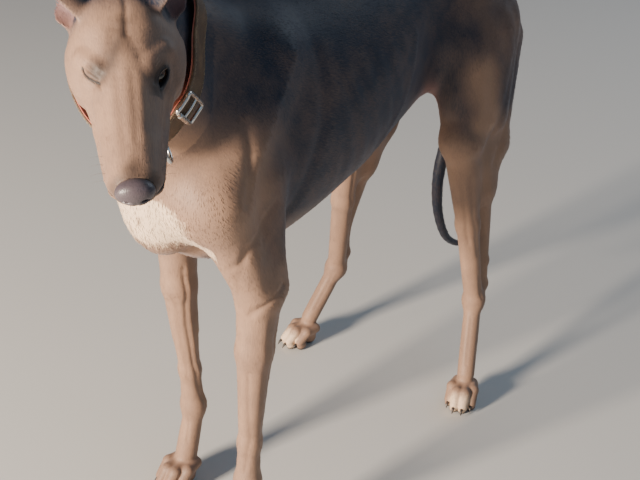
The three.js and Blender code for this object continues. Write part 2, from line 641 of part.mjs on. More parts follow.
// Limb piece as level rings about an axis that is found inside the field
function stack(field, levels, axis, facets, across = V(1, 0, 0), up = V(0, 1, 0)) {
  const middles = [];
  const rings = levels.map((z) => {
    let c = axis(z), ring = [];
    for (let pass = 0; pass < 3; pass++) {
      if (pass) c = mul(ring.reduce(add), 1 / facets);
      ring = circle(V(0, 0, 0), across, up, 1, facets).map((way) => add(c, mul(way, exit(field, c, way))));
    }
    middles.push(c);
    return ring;
  });
  return capped(rings, middles[0], middles[middles.length - 1]);
}

// Solid with its faces turned outwards
function facingOut(verts, tris) {
  const made = solid({ verts, tris });
  return made.volume() > 0 ? made : solid({ verts, tris: tris.map(([a, b, c]) => [a, c, b]) });
}

// Groove of the mouth: from one corner round the front to the other
const MOUTH_ROWS = [[34, -30], [50, -28.5], [68, -26.5], [86, -24], [100, -22]];
const MOUTH_FRONT = [100, -21];
const MOUTH_TURNS = [22, 50, 78, 102, 130, 158];
const MOUTH_DEEP = 3.5;
const MOUTH_TALL = 0.9;
const MOUTH_OUT = 4;
function mouthCut() {
  const cheek = (s) => MOUTH_ROWS.map(([f, u]) => [HEAD.out(0, f, u), mul(HEAD.left, s)]);
  const chin = MOUTH_TURNS.map((deg) => {
    const way = add(mul(HEAD.left, Math.cos(rad(deg))), mul(HEAD.forward, Math.sin(rad(deg))));
    return [HEAD.out(0, ...MOUTH_FRONT), way];
  });
  const rays = [...cheek(1), ...chin, ...cheek(-1).reverse()];
  const rings = rays.map(([from, way], i) => {
    const lip = add(from, mul(way, reach(body, from, way, CHEST_WIDTH)));
    const deep = Math.min(MOUTH_DEEP, 1 + 1.2 * Math.min(i, rays.length - 1 - i));
    const wide = 1.3 * MOUTH_TALL;
    const section = [[-deep, -MOUTH_TALL], [MOUTH_OUT, -wide], [MOUTH_OUT, wide], [-deep, MOUTH_TALL]];
    return section.map(([out, rise]) => add(add(lip, mul(way, out)), mul(HEAD.up, rise)));
  });
  const middle = (ring) => mul(ring.reduce(add), 1 / ring.length);
  return capped(rings, middle(rings[0]), middle(rings[rings.length - 1]));
}

// Trunk, neck and tail
const trunk = grown(body, V(-150, -160, 330), V(150, 720, 745), V(24, 34, 24));
let bare = trunk;
for (const s of [1, -1]) bare = bare.subtract(foreBlock(s, GAP)).subtract(hindBlock(s, GAP));
addNode('chest', largest(drop(drop(bare, NECK_CUT), LOIN_CUT)), COLOURS.coat);
const LOIN_RINGS = 8;
const loinEnds = [LOIN_CUT[0][1] + GAP / 2, CROUP_CUT[0][1] - GAP / 2];
const loinSteps = count(LOIN_RINGS).map((i) => mix(...loinEnds, i / (LOIN_RINGS - 1)));
let loin = stack(body, loinSteps, (y) => V(0, y, 590), 28, V(1, 0, 0), V(0, 0, 1));
for (const s of [1, -1]) loin = loin.subtract(hindBlock(s, GAP));
addNode('loin', largest(loin), COLOURS.coat);
addNode('croup', largest(drop(keep(bare, CROUP_CUT), TAIL_CUT)), COLOURS.coat);
const neckRough = grown(body, V(-110, -260, 500), V(150, 60, 800), V(21, 21, 22));
addNode('neck', largest(drop(keep(neckRough, NECK_CUT), HEAD_BACK)), COLOURS.coat);
const tailAt = table(TAIL.map((q, i) => [i, ...q]));
const tailSteps = count(2 * TAIL.length - 1).map((i) => tailAt(i / 2));
const tailBar = bar(tailSteps.map((q) => q.slice(0, 3)), tailSteps.map((q) => q[3]), 10);
addNode('tail', largest(keep(tailBar, TAIL_CUT)), COLOURS.coat);

// Head with its eyes, ears, mouth and nose
const headRough = grown(body, V(-75, -130, -85), V(75, 160, 60), V(7.6, 9.5, 7.6), HEAD);
let head = keep(headRough, HEAD_BACK);
for (const s of [1, -1]) {
  head = head.subtract(globe(EYE_AT(s), EYE_RADIUS + GAP, 8, 10));
  head = head.subtract(s > 0 ? lidOpening(s, 18, 9) : lidOpening(s, 19, 1.8));
  head = head.subtract(ear(s, GAP));
  addNode(`eye_${s > 0 ? 'left' : 'right'}`, globe(EYE_AT(s), EYE_RADIUS, 7, 10), COLOURS.eye);
  addNode(`ear_${s > 0 ? 'left' : 'right'}`, ear(s, 0), COLOURS.coat);
}
head = head.subtract(mouthCut());
const noseField = (grow) => {
  const a = egg(HEAD.out(0, 121, -3), V(17 + grow, 13 + grow, 13.5 + grow), HEAD);
  const b = egg(HEAD.out(0, 125, 2), V(15 + grow, 9 + grow, 9 + grow), HEAD);
  return (p) => join(a(p), b(p), 4);
};
const noseBox = [V(-26, 98, -26), V(26, 148, 20), V(6.5, 6.5, 6.5)];
head = head.subtract(grown(noseField(GAP), ...noseBox, HEAD));
let nose = grown(noseField(0), ...noseBox, HEAD).intersect(half(HEAD.out(0, 112, 0), HEAD.forward));
for (const s of [1, -1]) {
  const nostril = [HEAD.out(6 * s, 142, -3), HEAD.out(8 * s, 129, -2), HEAD.out(11 * s, 124, -2)];
  const wing = [HEAD.out(9 * s, 132, -4), HEAD.out(19 * s, 124, -8)];
  nose = nose.subtract(bar(nostril, [3.6, 3.2, 1.5], 8)).subtract(bar(wing, [1.5, 1.2], 6));
}
addNode('nose', largest(nose), COLOURS.nose);
addNode('head', largest(head), COLOURS.coat);

// Collar: a broad leather band lying loose round the neck behind the jaw
const COLLAR_WIDTH = 44;
const COLLAR_THICK = 4;
const STRAP_LIFT = 1.2;             // rests this far off the smooth neck
const COLLAR_OVAL = [57, 80, 62];   // side, throat and nape reach from the neck axis
const COLLAR = (() => {
  const n = unit(V(0.36, -0.76, 0.54)), side = unit(sub(HEAD.left, mul(n, dot(HEAD.left, n))));
  return makeFrame(V(27, -124, 682), side, n, cross(n, side));
})();
const COLLAR_COUNT = 36;
function neckReach(a, shift) {
  const way = add(mul(COLLAR.left, Math.cos(a)), mul(COLLAR.up, Math.sin(a)));
  return reach(neckOnly, COLLAR.out(0, shift, 0), way, 140);
}
const neckOnly = (p) => {
  let d = 1e3;
  for (const [k, f] of neckFlesh) d = join(d, f(p), k);
  return d;
};
const strapInner = (a) => {
  const [side, throat, nape] = COLLAR_OVAL;
  const c = Math.cos(a) / side, t = Math.sin(a) / (Math.sin(a) < 0 ? throat : nape);
  const slack = 1 / Math.hypot(c, t);
  const skin = Math.max(...[-1, -0.5, 0, 0.5, 1].map((q) => neckReach(a, q * COLLAR_WIDTH / 2)));
  return Math.max(skin + STRAP_LIFT, slack);
};
const STRAP = angles(COLLAR_COUNT).map(strapInner);
// Point on the strap: angle in degrees, distance along the neck, height above the inner face
function onStrap(deg, along, lift) {
  const x = ((deg / 360 * COLLAR_COUNT) % COLLAR_COUNT + COLLAR_COUNT) % COLLAR_COUNT;
  const i = Math.floor(x), j = (i + 1) % COLLAR_COUNT, w = x - i;
  const spot = (k) => {
    const g = 2 * Math.PI * k / COLLAR_COUNT, r = STRAP[k] + lift;
    return COLLAR.out(Math.cos(g) * r, along, Math.sin(g) * r);
  };
  return mixV(spot(i), spot(j), w);
}

// Closed ring through sections, the last joined to the first
function hoop(rings) {
  const m = rings[0].length, n = rings.length, tris = [];
  for (let i = 0; i < n; i++) for (let j = 0; j < m; j++) {
    const p = i * m, q = ((i + 1) % n) * m, l = (j + 1) % m;
    tris.push([p + j, p + l, q + l], [p + j, q + l, q + j]);
  }
  return facingOut(rings.flat(), tris);
}

const STRAP_EDGE = 1.5;
const strapSection = () => {
  const side = COLLAR_WIDTH / 2, flat = side - STRAP_EDGE, t = COLLAR_THICK;
  return [[-flat, 0], [flat, 0], [side, STRAP_EDGE], [flat, t], [-flat, t], [-side, STRAP_EDGE]];
};
const strapRing = (i) => strapSection().map(([along, lift]) => onStrap(i * 360 / COLLAR_COUNT, along, lift));
let strap = hoop(count(COLLAR_COUNT).map(strapRing));

// Round wire bent into a closed frame
function wire(points, r, facets) {
  const n = points.length;
  return hoop(points.map((c, i) => {
    const t = unit(sub(points[(i + 1) % n], points[(i + n - 1) % n]));
    const out = unit(sub(c, COLLAR.origin)), a = unit(sub(out, mul(t, dot(out, t))));
    return circle(c, a, cross(t, a), r, facets);
  }));
}

// Buckle: a wire frame round the strap's width and a bar across it
const BUCKLE_AT = -45;
const BUCKLE_SPAN = 16;
const WIRE = 2.2;
const FRAME_SPARE = 4;
const overStrap = COLLAR_THICK + WIRE + 3 * GAP;
const frameWide = COLLAR_WIDTH / 2 + FRAME_SPARE;
const onBuckle = (a, w) => onStrap(BUCKLE_AT + a * BUCKLE_SPAN / 2, w * frameWide, overStrap);
const FRAME_HALF = [[-1, -1], [-0.5, -1], [0.5, -1], [1, -1], [1.15, -0.6], [1.15, 0.6]];
const frameRing = [...FRAME_HALF, ...FRAME_HALF.map(([a, w]) => [-a, -w])];
const tongue = [-1.15, -0.4, 0.4, 1.15].map((a) => onBuckle(a, 0));
const frameWire = wire(frameRing.map(([a, w]) => onBuckle(a, w)), WIRE, 6);
const buckle = frameWire.add(bar(tongue, [1.8, 1.8, 1.8, 1.6], 6));

// Ring for a tag, held by a leather loop on the strap
const RING_AT = -75;
const RING_RADIUS = 13;
const RING_WIRE = 2;
const ringMid = onStrap(RING_AT, 0, COLLAR_THICK + RING_RADIUS * 0.9);
const ringWay = unit(sub(onStrap(RING_AT + 4, 0, 0), onStrap(RING_AT - 4, 0, 0)));
const ringUp = unit(sub(onStrap(RING_AT, 0, 10), onStrap(RING_AT, 0, 0)));
const tagRing = (r) => hoop(circle(V(0, 0, 0), cross(ringWay, ringUp), ringUp, 1, 14).map((way) => {
  return circle(add(ringMid, mul(way, RING_RADIUS)), way, ringWay, r, 6);
}));
const LOOP_HALF = 9;
const loopBase = add(ringMid, mul(ringUp, -RING_RADIUS));
const loopPath = [-1, -0.55, 0.55, 1].map((a) => add(loopBase, mul(ringWay, LOOP_HALF * a)));
strap = strap.add(bar(loopPath, [2, 4.6, 4.6, 2], 8)).subtract(tagRing(RING_WIRE + GAP));
addNode('collar', strap, COLOURS.leather);
addNode('collar_buckle', buckle, COLOURS.metal);
addNode('collar_ring', tagRing(RING_WIRE), COLOURS.metal);

// Legs, from the cut below the elbow and the knee down to the clawed paws
const CLAW_RADII = [3, 2.3, 0.9];
const clawed = (s, claws) => claws.reduce((a, path) => a.add(bar(path, CLAW_RADII, 5)), s);
const levelCut = (z) => [V(0, 0, z), V(0, 0, 1)];
const FLOOR_CUT = levelCut(-GAP / 2);
const PAW_GRID = V(7.5, 7.5, 8);
const PAW_MARGIN = 40;
const FORE_LEVELS = [74, 88, 98, 106, 114, 124, 136, 152, 180, 215, 250, 285, 320, 345];
const SHANK_LEVELS = [215, 235, 258, 284, 310, 335, 356];
const HOCK_LEVELS = [76, 92, 108, 122, 134, 145, 156, 166, 176, 188];
const between = (low, levels, high) => [low + GAP / 2, ...levels, high - GAP / 2];
const along = (a, b) => (z) => mixV(a, b, (a[2] - z) / (a[2] - b[2]));
// Box from the corners of a right or left part given by its inner and outer x
const sideBox = (s, inner, outer, lo, hi) => {
  const x = [s * inner, s * outer].sort((a, b) => a - b);
  return [V(x[0], ...lo), V(x[1], ...hi)];
};

function pawSolid(knuckle, dir, claws) {
  const tip = add(knuckle, mul(unit(dir), 45));
  const low = [0, 1].map((i) => Math.min(knuckle[i], tip[i]) - PAW_MARGIN);
  const high = [0, 1].map((i) => Math.max(knuckle[i], tip[i]) + PAW_MARGIN);
  const rough = grown(body, V(...low, -15), V(...high, 90), PAW_GRID);
  return clawed(largest(keep(drop(rough, levelCut(PAW_TOP)), FLOOR_CUT)), claws);
}

for (const leg of sides) {
  const { s, name, elbow, carpus, knuckle, stifle, hock, ball: toeBall } = leg;
  const arm = grown(body, ...sideBox(s, 20, 150, [-130, 330], [175, 600]), V(16, 18, 22));
  const upperArm = keep(arm.intersect(foreBlock(s, 0)), levelCut(ELBOW_CUT));
  addNode(`upper_arm_${name}`, largest(upperArm), COLOURS.coat);
  const foreAxis = (z) => (z > carpus[2] ? along(elbow, carpus) : along(carpus, knuckle))(z);
  const forearm = stack(body, between(PAW_TOP, FORE_LEVELS, ELBOW_CUT), foreAxis, 12);
  addNode(`forearm_${name}`, forearm, COLOURS.coat);
  addNode(`forepaw_${name}`, pawSolid(knuckle, leg.fore, leg.foreClaws), COLOURS.coat);
  const haunch = grown(body, ...sideBox(s, 5, 170, [380, 320], [730, 660]), V(16, 19, 21));
  const thigh = keep(haunch.intersect(hindBlock(s, 0)), levelCut(KNEE_CUT));
  addNode(`thigh_${name}`, largest(thigh), COLOURS.coat);
  const shankAxis = (z) => add(along(stifle, hock)(z), V(0, 10, 0));
  const shank = stack(body, between(HOCK_CUT, SHANK_LEVELS, KNEE_CUT), shankAxis, 14);
  addNode(`lower_thigh_${name}`, shank, COLOURS.coat);
  const hockAxis = (z) => (z > hock[2] ? along(stifle, hock) : along(hock, toeBall))(z);
  const pastern = stack(body, between(PAW_TOP, HOCK_LEVELS, HOCK_CUT), hockAxis, 12);
  addNode(`hock_${name}`, pastern, COLOURS.coat);
  addNode(`hindpaw_${name}`, pawSolid(toeBall, leg.hind, leg.hindClaws), COLOURS.coat);
}

// Origin on the floor below the middle of the box round everything
const box = new THREE.Box3().setFromObject(group);
const middle = box.getCenter(new THREE.Vector3());
group.children.forEach((mesh) => mesh.geometry.translate(-middle.x, -middle.y, -box.min.z));

export default group;
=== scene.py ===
"""Greyhound standing at life size, with its short coat and its leather collar.

Sizes of the body form are in millimetres in the form's own frame: the animal faces -Y, its left side
is +X and its soles are at z = 0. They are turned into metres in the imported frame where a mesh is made.
"""
import math

import bmesh
import bpy
import numpy as np
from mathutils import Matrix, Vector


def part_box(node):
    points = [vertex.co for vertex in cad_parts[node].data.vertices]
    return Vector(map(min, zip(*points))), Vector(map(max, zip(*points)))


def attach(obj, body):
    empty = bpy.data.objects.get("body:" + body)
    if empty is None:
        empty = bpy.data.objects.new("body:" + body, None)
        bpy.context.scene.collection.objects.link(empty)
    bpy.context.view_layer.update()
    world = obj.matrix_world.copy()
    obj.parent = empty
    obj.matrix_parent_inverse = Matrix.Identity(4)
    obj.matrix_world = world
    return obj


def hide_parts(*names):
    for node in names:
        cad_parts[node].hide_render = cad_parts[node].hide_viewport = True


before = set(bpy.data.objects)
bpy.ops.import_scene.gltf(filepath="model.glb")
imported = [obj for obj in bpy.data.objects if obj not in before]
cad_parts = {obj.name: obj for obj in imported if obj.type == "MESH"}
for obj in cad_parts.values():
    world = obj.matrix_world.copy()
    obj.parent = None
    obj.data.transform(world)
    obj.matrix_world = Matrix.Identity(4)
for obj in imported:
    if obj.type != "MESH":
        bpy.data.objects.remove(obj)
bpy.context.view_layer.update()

import openvdb
from mathutils import Matrix, Vector
from mathutils.bvhtree import BVHTree
from mathutils.kdtree import KDTree

bl_info = {
    "name": "Greyhound",
    "version": (1, 0, 0),
    "blender": (4, 5, 0),
    "location": "View3D > Sidebar > Greyhound",
    "description": "Builds a standing greyhound with its coat, eyes, nose, claws and collar",
    "category": "Add Mesh",
}

MM = 0.001
SEED = 7

# Driving sizes of the body form, in millimetres
WITHERS = 702
CHEST_WIDTH = 186
WAIST_WIDTH = 128
ELBOW_HEIGHT = 385
CARPUS_HEIGHT = 118
STIFLE_HEIGHT = 425
HOCK_HEIGHT = 150
HEAD_TURN = 46.4
HEAD_NOD = 28
HEAD_ROLL = -6.2
EYE_MID = (111, -219, 715)
EYE_SPACING = 62
EYE_RADIUS = 10.5
COAT_DEPTH = 1.2

FINE_COAT_DEPTH = 0.4
CORNEA_RISE = 0.25

# Grids of the skin's parts and of the nose, in millimetres
BODY_STEP = 3.0
HEAD_STEP = 1.3
LEG_STEP = 1.6
NOSE_STEP = 0.7

# Where the skin's parts end: soles, neck behind the collar's middle, lower legs, and the gap that is sewn up
SOLE_LIFT = 0.2
NECK_STOP = -10
LEG_CUT = 330
TAIL_END = 130
SEAM = 1.6

# How far aside from the middle the legs lie
LEG_SIDE = 40


def vec(*xyz):
    return np.array(xyz, float)


def unit(v):
    return v / np.linalg.norm(v)


def mix(a, b, t):
    return a + (b - a) * t


def smooth(x, low, high):
    """0 below low, 1 above high, with a smooth rise between."""
    t = np.clip((x - low) / (high - low), 0, 1)
    return t * t * (3 - 2 * t)


def bell(x, width):
    return np.exp(-(x / width) ** 2)


def length(v):
    return np.sqrt(np.einsum("ij,ij->i", v, v))


class Axes:
    """An origin with left, forward and up directions."""

    def __init__(self, origin, left, forward, up):
        self.origin, self.rows = vec(*origin), np.array([left, forward, up])
        self.left, self.forward, self.up = self.rows

    def out(self, left, forward, up):
        return self.origin + np.array([left, forward, up]) @ self.rows

    def into(self, points):
        return (points - self.origin) @ self.rows.T

    def outs(self, points):
        return self.origin + np.asarray(points, float) @ self.rows


def turned_axes(origin, turn, nod, roll):
    turn, nod, roll = (math.radians(a) for a in (turn, nod, roll))
    forward = vec(math.sin(turn) * math.cos(nod), -math.cos(turn) * math.cos(nod), -math.sin(nod))
    flat = vec(math.cos(turn), math.sin(turn), 0)
    left = flat * math.cos(roll) - np.cross(forward, flat) * math.sin(roll)
    return Axes(origin, left, forward, np.cross(forward, left))


WORLD = Axes((0, 0, 0), vec(1, 0, 0), vec(0, 1, 0), vec(0, 0, 1))
HEAD = turned_axes(EYE_MID, HEAD_TURN, HEAD_NOD, HEAD_ROLL)


# Distance-like shapes: negative inside, in millimetres, each with a ball (centre, radius) that holds it

def cone(a, b, ra, rb):
    a, b = vec(*a), vec(*b)
    ba = b - a
    l2, rr = ba @ ba, ra - rb
    a2, il2 = l2 - rr * rr, 1 / l2

    def distance(p):
        pa = p - a
        y = pa @ ba
        z = y - l2
        w = pa * l2 - y[:, None] * ba
        x2, y2, z2 = np.einsum("ij,ij->i", w, w), y * y * l2, z * z * l2
        k = np.sign(rr) * rr * rr * x2
        body = (np.sqrt(x2 * a2 * il2) + y * rr) * il2 - ra
        start = np.sqrt(x2 + y2) * il2 - ra
        end = np.sqrt(x2 + z2) * il2 - rb
        return np.where(np.sign(z) * a2 * z2 > k, end, np.where(np.sign(y) * a2 * y2 < k, start, body))

    return distance, (a + b) / 2, math.sqrt(l2) / 2 + max(ra, rb)


def ball(c, r):
    c = vec(*c)
    return (lambda p: length(p - c) - r), c, r


def egg(c, r, axes=WORLD):
    c, r = vec(*c), vec(*r)

    def distance(p):
        q = (p - c) @ axes.rows.T / r
        k0 = length(q)
        return k0 * (k0 - 1) / np.maximum(length(q / r), 1e-9)

    return distance, c, r.max()


def fold(a, b, c, r):
    """Thin fold of skin: a triangle with a rounded edge."""
    a, b, c = vec(*a), vec(*b), vec(*c)
    normal = np.cross(b - a, a - c)
    edges = [(a, b - a), (b, c - b), (c, a - c)]
    middle = (a + b + c) / 3

    def distance(p):
        inside, best = np.zeros(len(p)), np.full(len(p), 1e9)
        for start, edge in edges:
            q = p - start
            inside += np.sign(q @ np.cross(edge, normal))
            w = np.clip(q @ edge / (edge @ edge), 0, 1)[:, None] * edge - q
            best = np.minimum(best, np.einsum("ij,ij->i", w, w))
        flat = ((p - a) @ normal) ** 2 / (normal @ normal)
        return np.sqrt(np.where(inside >= 2, flat, best)) - r

    return distance, middle, max(np.linalg.norm(q - middle) for q in (a, b, c)) + r


def smooth_table(rows):
    """Smooth values through table rows (t, v1, v2, ...), for an array of t."""
    rows = np.array(rows, float)
    t, v = rows[:, 0], rows[:, 1:]
    slope = np.empty_like(v)
    slope[1:-1] = (v[2:] - v[:-2]) / (t[2:] - t[:-2])[:, None]
    slope[0], slope[-1] = (v[1] - v[0]) / (t[1] - t[0]), (v[-1] - v[-2]) / (t[-1] - t[-2])

    def at(x):
        x = np.clip(x, t[0], t[-1])
        i = np.clip(np.searchsorted(t, x, side="right") - 1, 0, len(t) - 2)
        h = (t[i + 1] - t[i])[:, None]
        s = ((x - t[i]) / h[:, 0])[:, None]
        s2, s3 = s * s, s * s * s
        return ((2 * s3 - 3 * s2 + 1) * v[i] + (s3 - 2 * s2 + s) * h * slope[i]
                + (3 * s2 - 2 * s3) * v[i + 1] + (s3 - s2) * h * slope[i + 1])

    return at


def loft(rows, axes, cap_a, cap_b, round_top, round_bottom, hold):
    """Body through rows (t, top, bottom, half width, height of the widest line)."""
    at, t0, t1 = smooth_table(rows), rows[0][0], rows[-1][0]

    def distance(p):
        left, t, up = axes.into(p).T
        top, bottom, half, wide = at(t).T
        du = up - wide
        b = np.where(du > 0, top - wide, wide - bottom)
        n = np.where(du > 0, round_top, round_bottom)
        over = np.where(t < t0, (t0 - t) / cap_a, np.maximum(t - t1, 0) / cap_b)
        rho = ((np.abs(left) / half) ** n + (np.abs(du) / b) ** n) ** (1 / n)
        least = np.minimum(half, b)
        reach = np.where(rho > 1e-6, np.hypot(left, du) / np.maximum(rho, 1e-6), least)
        return (np.hypot(rho, over) - 1) * np.minimum(reach, 1.3 * least)

    return distance, vec(*hold[0]), hold[1]


def join(a, b, k):
    h = np.maximum(k - np.abs(a - b), 0) / k
    return np.minimum(a, b) - h * h * k / 4


def carve(a, b, k):
    """a with b cut out of it, the rim rounded by k."""
    return -join(-a, b, k)


# A group of points is measured against the shapes within this reach of it only
CELL = 48.0
REACH = 45.0


class Form:
    """Shapes melted together one after another, each with its own softness."""

    def __init__(self):
        self.shapes = []

    def put(self, softness, *shapes):
        for distance, centre, radius in shapes:
            self.shapes.append((softness, distance, centre, radius))

    def near(self, points):
        middle = points.mean(0)
        spread = length(points - middle).max()
        d = np.full(len(points), 1e3)
        for k, distance, centre, radius in self.shapes:
            if np.linalg.norm(centre - middle) > spread + radius + k + REACH:
                continue
            close = length(points - centre) - radius <= d + k
            if close.any():
                d[close] = join(d[close], distance(points[close]), k)
        return d

    def __call__(self, points):
        out = np.empty(len(points))
        cell = np.floor(points / CELL).astype(np.int64) + 512
        key = (cell[:, 0] * 1024 + cell[:, 1]) * 1024 + cell[:, 2]
        order = np.argsort(key, kind="stable")
        for group in np.split(order, np.flatnonzero(np.diff(key[order])) + 1):
            out[group] = self.near(points[group])
        return out


# Torso profile rows: y, top, bottom, half width, widest height
HALF_CHEST, HALF_WAIST = CHEST_WIDTH / 2, WAIST_WIDTH / 2
TORSO_ROWS = [
    (-52, 640, 448, 46, 540),
    (-20, 672, 416, 74, 550),
    (30, WITHERS - 8, 395, HALF_CHEST - 10, 545),
    (90, WITHERS, 389, HALF_CHEST - 2, 540),
    (160, WITHERS - 5, 396, HALF_CHEST, 548),
    (240, WITHERS - 3, 412, HALF_CHEST - 2, 562),
    (310, WITHERS + 3, 428, HALF_CHEST - 10, 582),
    (380, WITHERS + 5, 446, HALF_WAIST + 6, 600),
    (440, WITHERS + 2, 468, HALF_WAIST, 608),
    (500, WITHERS - 14, 490, HALF_WAIST + 4, 600),
    (560, WITHERS - 36, 505, HALF_WAIST + 6, 590),
    (610, WITHERS - 66, 520, HALF_WAIST - 4, 575),
]
# Head profile rows: forward, top, bottom, half width, widest height, from the point between the eyes
HEAD_ROWS = [
    (-96, 20, -34, 34, -6),
    (-70, 31, -50, 44, -10),
    (-38, 34, -57, 49, -15),
    (-8, 28, -54, 44.5, -24),
    (18, 19, -47, 37.5, -26),
    (48, 13, -39, 30.5, -18),
    (82, 9, -34, 26, -12),
    (108, 7, -29, 22.5, -10),
    (120, 4, -25, 18, -10),
]
# Tail: x, y, z, radius
TAIL = [
    (0, 636, 598, 26), (0, 662, 552, 19), (2, 654, 486, 15), (2, 610, 408, 12.5),
    (1, 572, 336, 10.5), (0, 574, 266, 9), (0, 606, 200, 7.5), (0, 652, 164, 6), (0, 694, 152, 4.5),
]
LEGS = {
    "left": {
        "side": 1, "blade": (50, 66, 650), "shoulder": (70, -50, 518), "elbow": (86, 8, ELBOW_HEIGHT),
        "carpus": (82, 0, CARPUS_HEIGHT), "knuckle": (82, -15, 46), "fore": (0.03, -1, 0),
        "hip": (58, 545, 575), "stifle": (84, 474, STIFLE_HEIGHT), "hock": (104, 528, HOCK_HEIGHT),
        "ball": (127, 484, 46), "hind": (0.32, -0.95, 0),
    },
    "right": {
        "side": -1, "blade": (-50, 80, 650), "shoulder": (-63, -12, 512), "elbow": (-88, 62, ELBOW_HEIGHT),
        "carpus": (-78, 82, CARPUS_HEIGHT), "knuckle": (-79, 68, 46), "fore": (-0.03, -1, 0),
        "hip": (-58, 540, 575), "stifle": (-88, 448, STIFLE_HEIGHT - 10),
        "hock": (-139, 507, HOCK_HEIGHT - 20),
        "ball": (-160, 468, 46), "hind": (-0.36, -0.93, 0),
    },
}
for leg in LEGS.values():
    leg.update({key: vec(*value) for key, value in leg.items() if key != "side"})

# Hare foot: two long middle toes, two shorter outer ones, as (side, lead)
TOES = [(-17.5, 30), (-6.5, 44), (6.5, 44), (17.5, 30)]
TOE_RADIUS = 9
HIND_SIZE = 0.94


def paw_point(base, direction, size):
    """A function from (ahead, across, height) to a point of the paw."""
    ahead = unit(direction)
    across = unit(np.cross(ahead, vec(0, 0, 1)))
    return lambda a, b, z: vec(base[0], base[1], 0) + (ahead * a + across * b + vec(0, 0, z)) * size


def put_paw(form, base, direction, size):
    at = paw_point(base, direction, size)
    form.put(8, egg(at(6, 0, 25), vec(19, 20, 19) * size))
    form.put(5, egg(at(3, 0, 10), vec(15, 14, 12) * size))
    r = TOE_RADIUS * size
    for side, lead in TOES:
        form.put(3, cone(at(lead - 34, side * 0.72, 31), at(lead - 13, side, 31), r, r))
        form.put(2, cone(at(lead - 13, side, 31), at(lead + 2, side * 1.04, 15), r, r * 0.88))
        form.put(2, egg(at(lead - 3, side * 1.02, 8), vec(7.5, 10, 9) * size))


def put_foreleg(form, leg):
    s, shoulder, elbow, carpus = leg["side"], leg["shoulder"], leg["elbow"], leg["carpus"]
    heel = elbow + vec(3 * s, 26, 2)
    # Shoulder blade, upper arm and the long muscle behind it
    form.put(40, cone(leg["blade"], shoulder, 26, 35))
    form.put(30, cone(shoulder, elbow, 34, 25))
    form.put(30, cone((70 * s, (shoulder[1] + elbow[1]) / 2 + 42, 520), heel, 34, 15))
    form.put(14, cone(heel, mix(elbow, carpus, 0.62), 14, 10))
    belly = mix(elbow, carpus, 0.28) + vec(s, -3, 0)
    form.put(14, cone(elbow, belly, 26, 22))
    form.put(10, cone(belly, mix(elbow, carpus, 0.78), 22, 15))
    form.put(10, cone(mix(elbow, carpus, 0.78), carpus, 15, 16.5))
    form.put(8, egg(carpus, (19, 17, 21)))
    form.put(6, ball(carpus + vec(0, 17, -12), 8))
    form.put(8, cone(carpus + vec(0, -1, -16), leg["knuckle"], 14.5, 15.5))
    put_paw(form, leg["knuckle"], leg["fore"], 1)


def put_hindleg(form, leg):
    s, hip, stifle, hock = leg["side"], leg["hip"], leg["stifle"], leg["hock"]
    # Haunch
    form.put(30, cone((46 * s, hip[1] - 40, 620), (46 * s, hip[1] + 30, 600), 40, 34))
    form.put(30, cone((60 * s, hip[1] - 55, 560), stifle + vec(0, 6, 10), 44, 32))
    form.put(30, cone((54 * s, hip[1] + 58, 545), stifle + vec(3 * s, 84, -22), 41, 25))
    form.put(30, cone(hip, stifle + vec(0, 55, 30), 56, 36))
    form.put(14, egg(stifle + vec(0, -14, 4), (25, 22, 30)))
    # Lower thigh with the tendon to the point of the hock
    point = hock + vec(0, 22, 20)
    calf = stifle + unit(hock - stifle) * 85 + vec(0, 38, 0)
    above = point + vec(0, -2, 42)
    shin = mix(stifle, hock, 0.45)
    form.put(14, cone(stifle, mix(stifle, hock, 0.5), 28, 18))
    form.put(10, cone(mix(stifle, hock, 0.5), hock, 18, 15))
    form.put(20, cone(stifle + vec(0, 45, -30), calf, 30, 23))
    form.put(24, cone(stifle + vec(3 * s, 82, -27), calf + vec(0, 4, -6), 24, 19))
    form.put(14, cone(calf, above, 23, 8))
    form.put(8, cone(above, point, 8, 9))
    form.put(8, fold(shin, calf, point, 4.5), fold(shin, point, hock, 4.5))
    form.put(8, cone(point, hock, 10, 14))
    form.put(8, egg(hock, (17, 18, 20)))
    form.put(8, cone(hock, leg["ball"], 14, 13.5))
    put_paw(form, leg["ball"], leg["hind"], HIND_SIZE)


NECK_CONES = [
    (45, (0, 60, 640), (6, -30, 684), 50, 45),
    (30, (6, -30, 684), (44, -134, 744), 45, 38),
    (40, (6, -30, 560), (22, -84, 636), 62, 48),
    (30, (22, -84, 636), (50, -136, 702), 48, 40),
]


def eye_place(s):
    return HEAD.out((EYE_SPACING / 2 - 5.5) * s, -2, -1)


def eye_aim(s):
    forward, up = (0.79, 0.27) if s > 0 else (0.68, 0.47)
    return unit(HEAD.left * 0.56 * s + HEAD.forward * forward + HEAD.up * up)


def put_head(form):
    form.put(8, loft(HEAD_ROWS, HEAD, 16, 9, 2.0, 2.0, (HEAD.out(0, 12, -10), 125)))
    for s in (1, -1):
        form.put(14, egg(HEAD.out(40 * s, -36, -26), (12, 34, 28), HEAD))
        form.put(8, cone(HEAD.out(20 * s, 2, 11), HEAD.out(36 * s, -20, 6), 7, 8))
        form.put(6, ball(eye_place(s), EYE_RADIUS + 2.2))
        form.put(10, cone(HEAD.out(19 * s, 44, -28), HEAD.out(14 * s, 104, -22), 12, 10))


def tail_bends(steps):
    """Places and radii along the tail, several to each row of its table."""
    last = len(TAIL) - 1
    return smooth_table([(i, *row) for i, row in enumerate(TAIL)])(np.linspace(0, last, last * steps + 1))


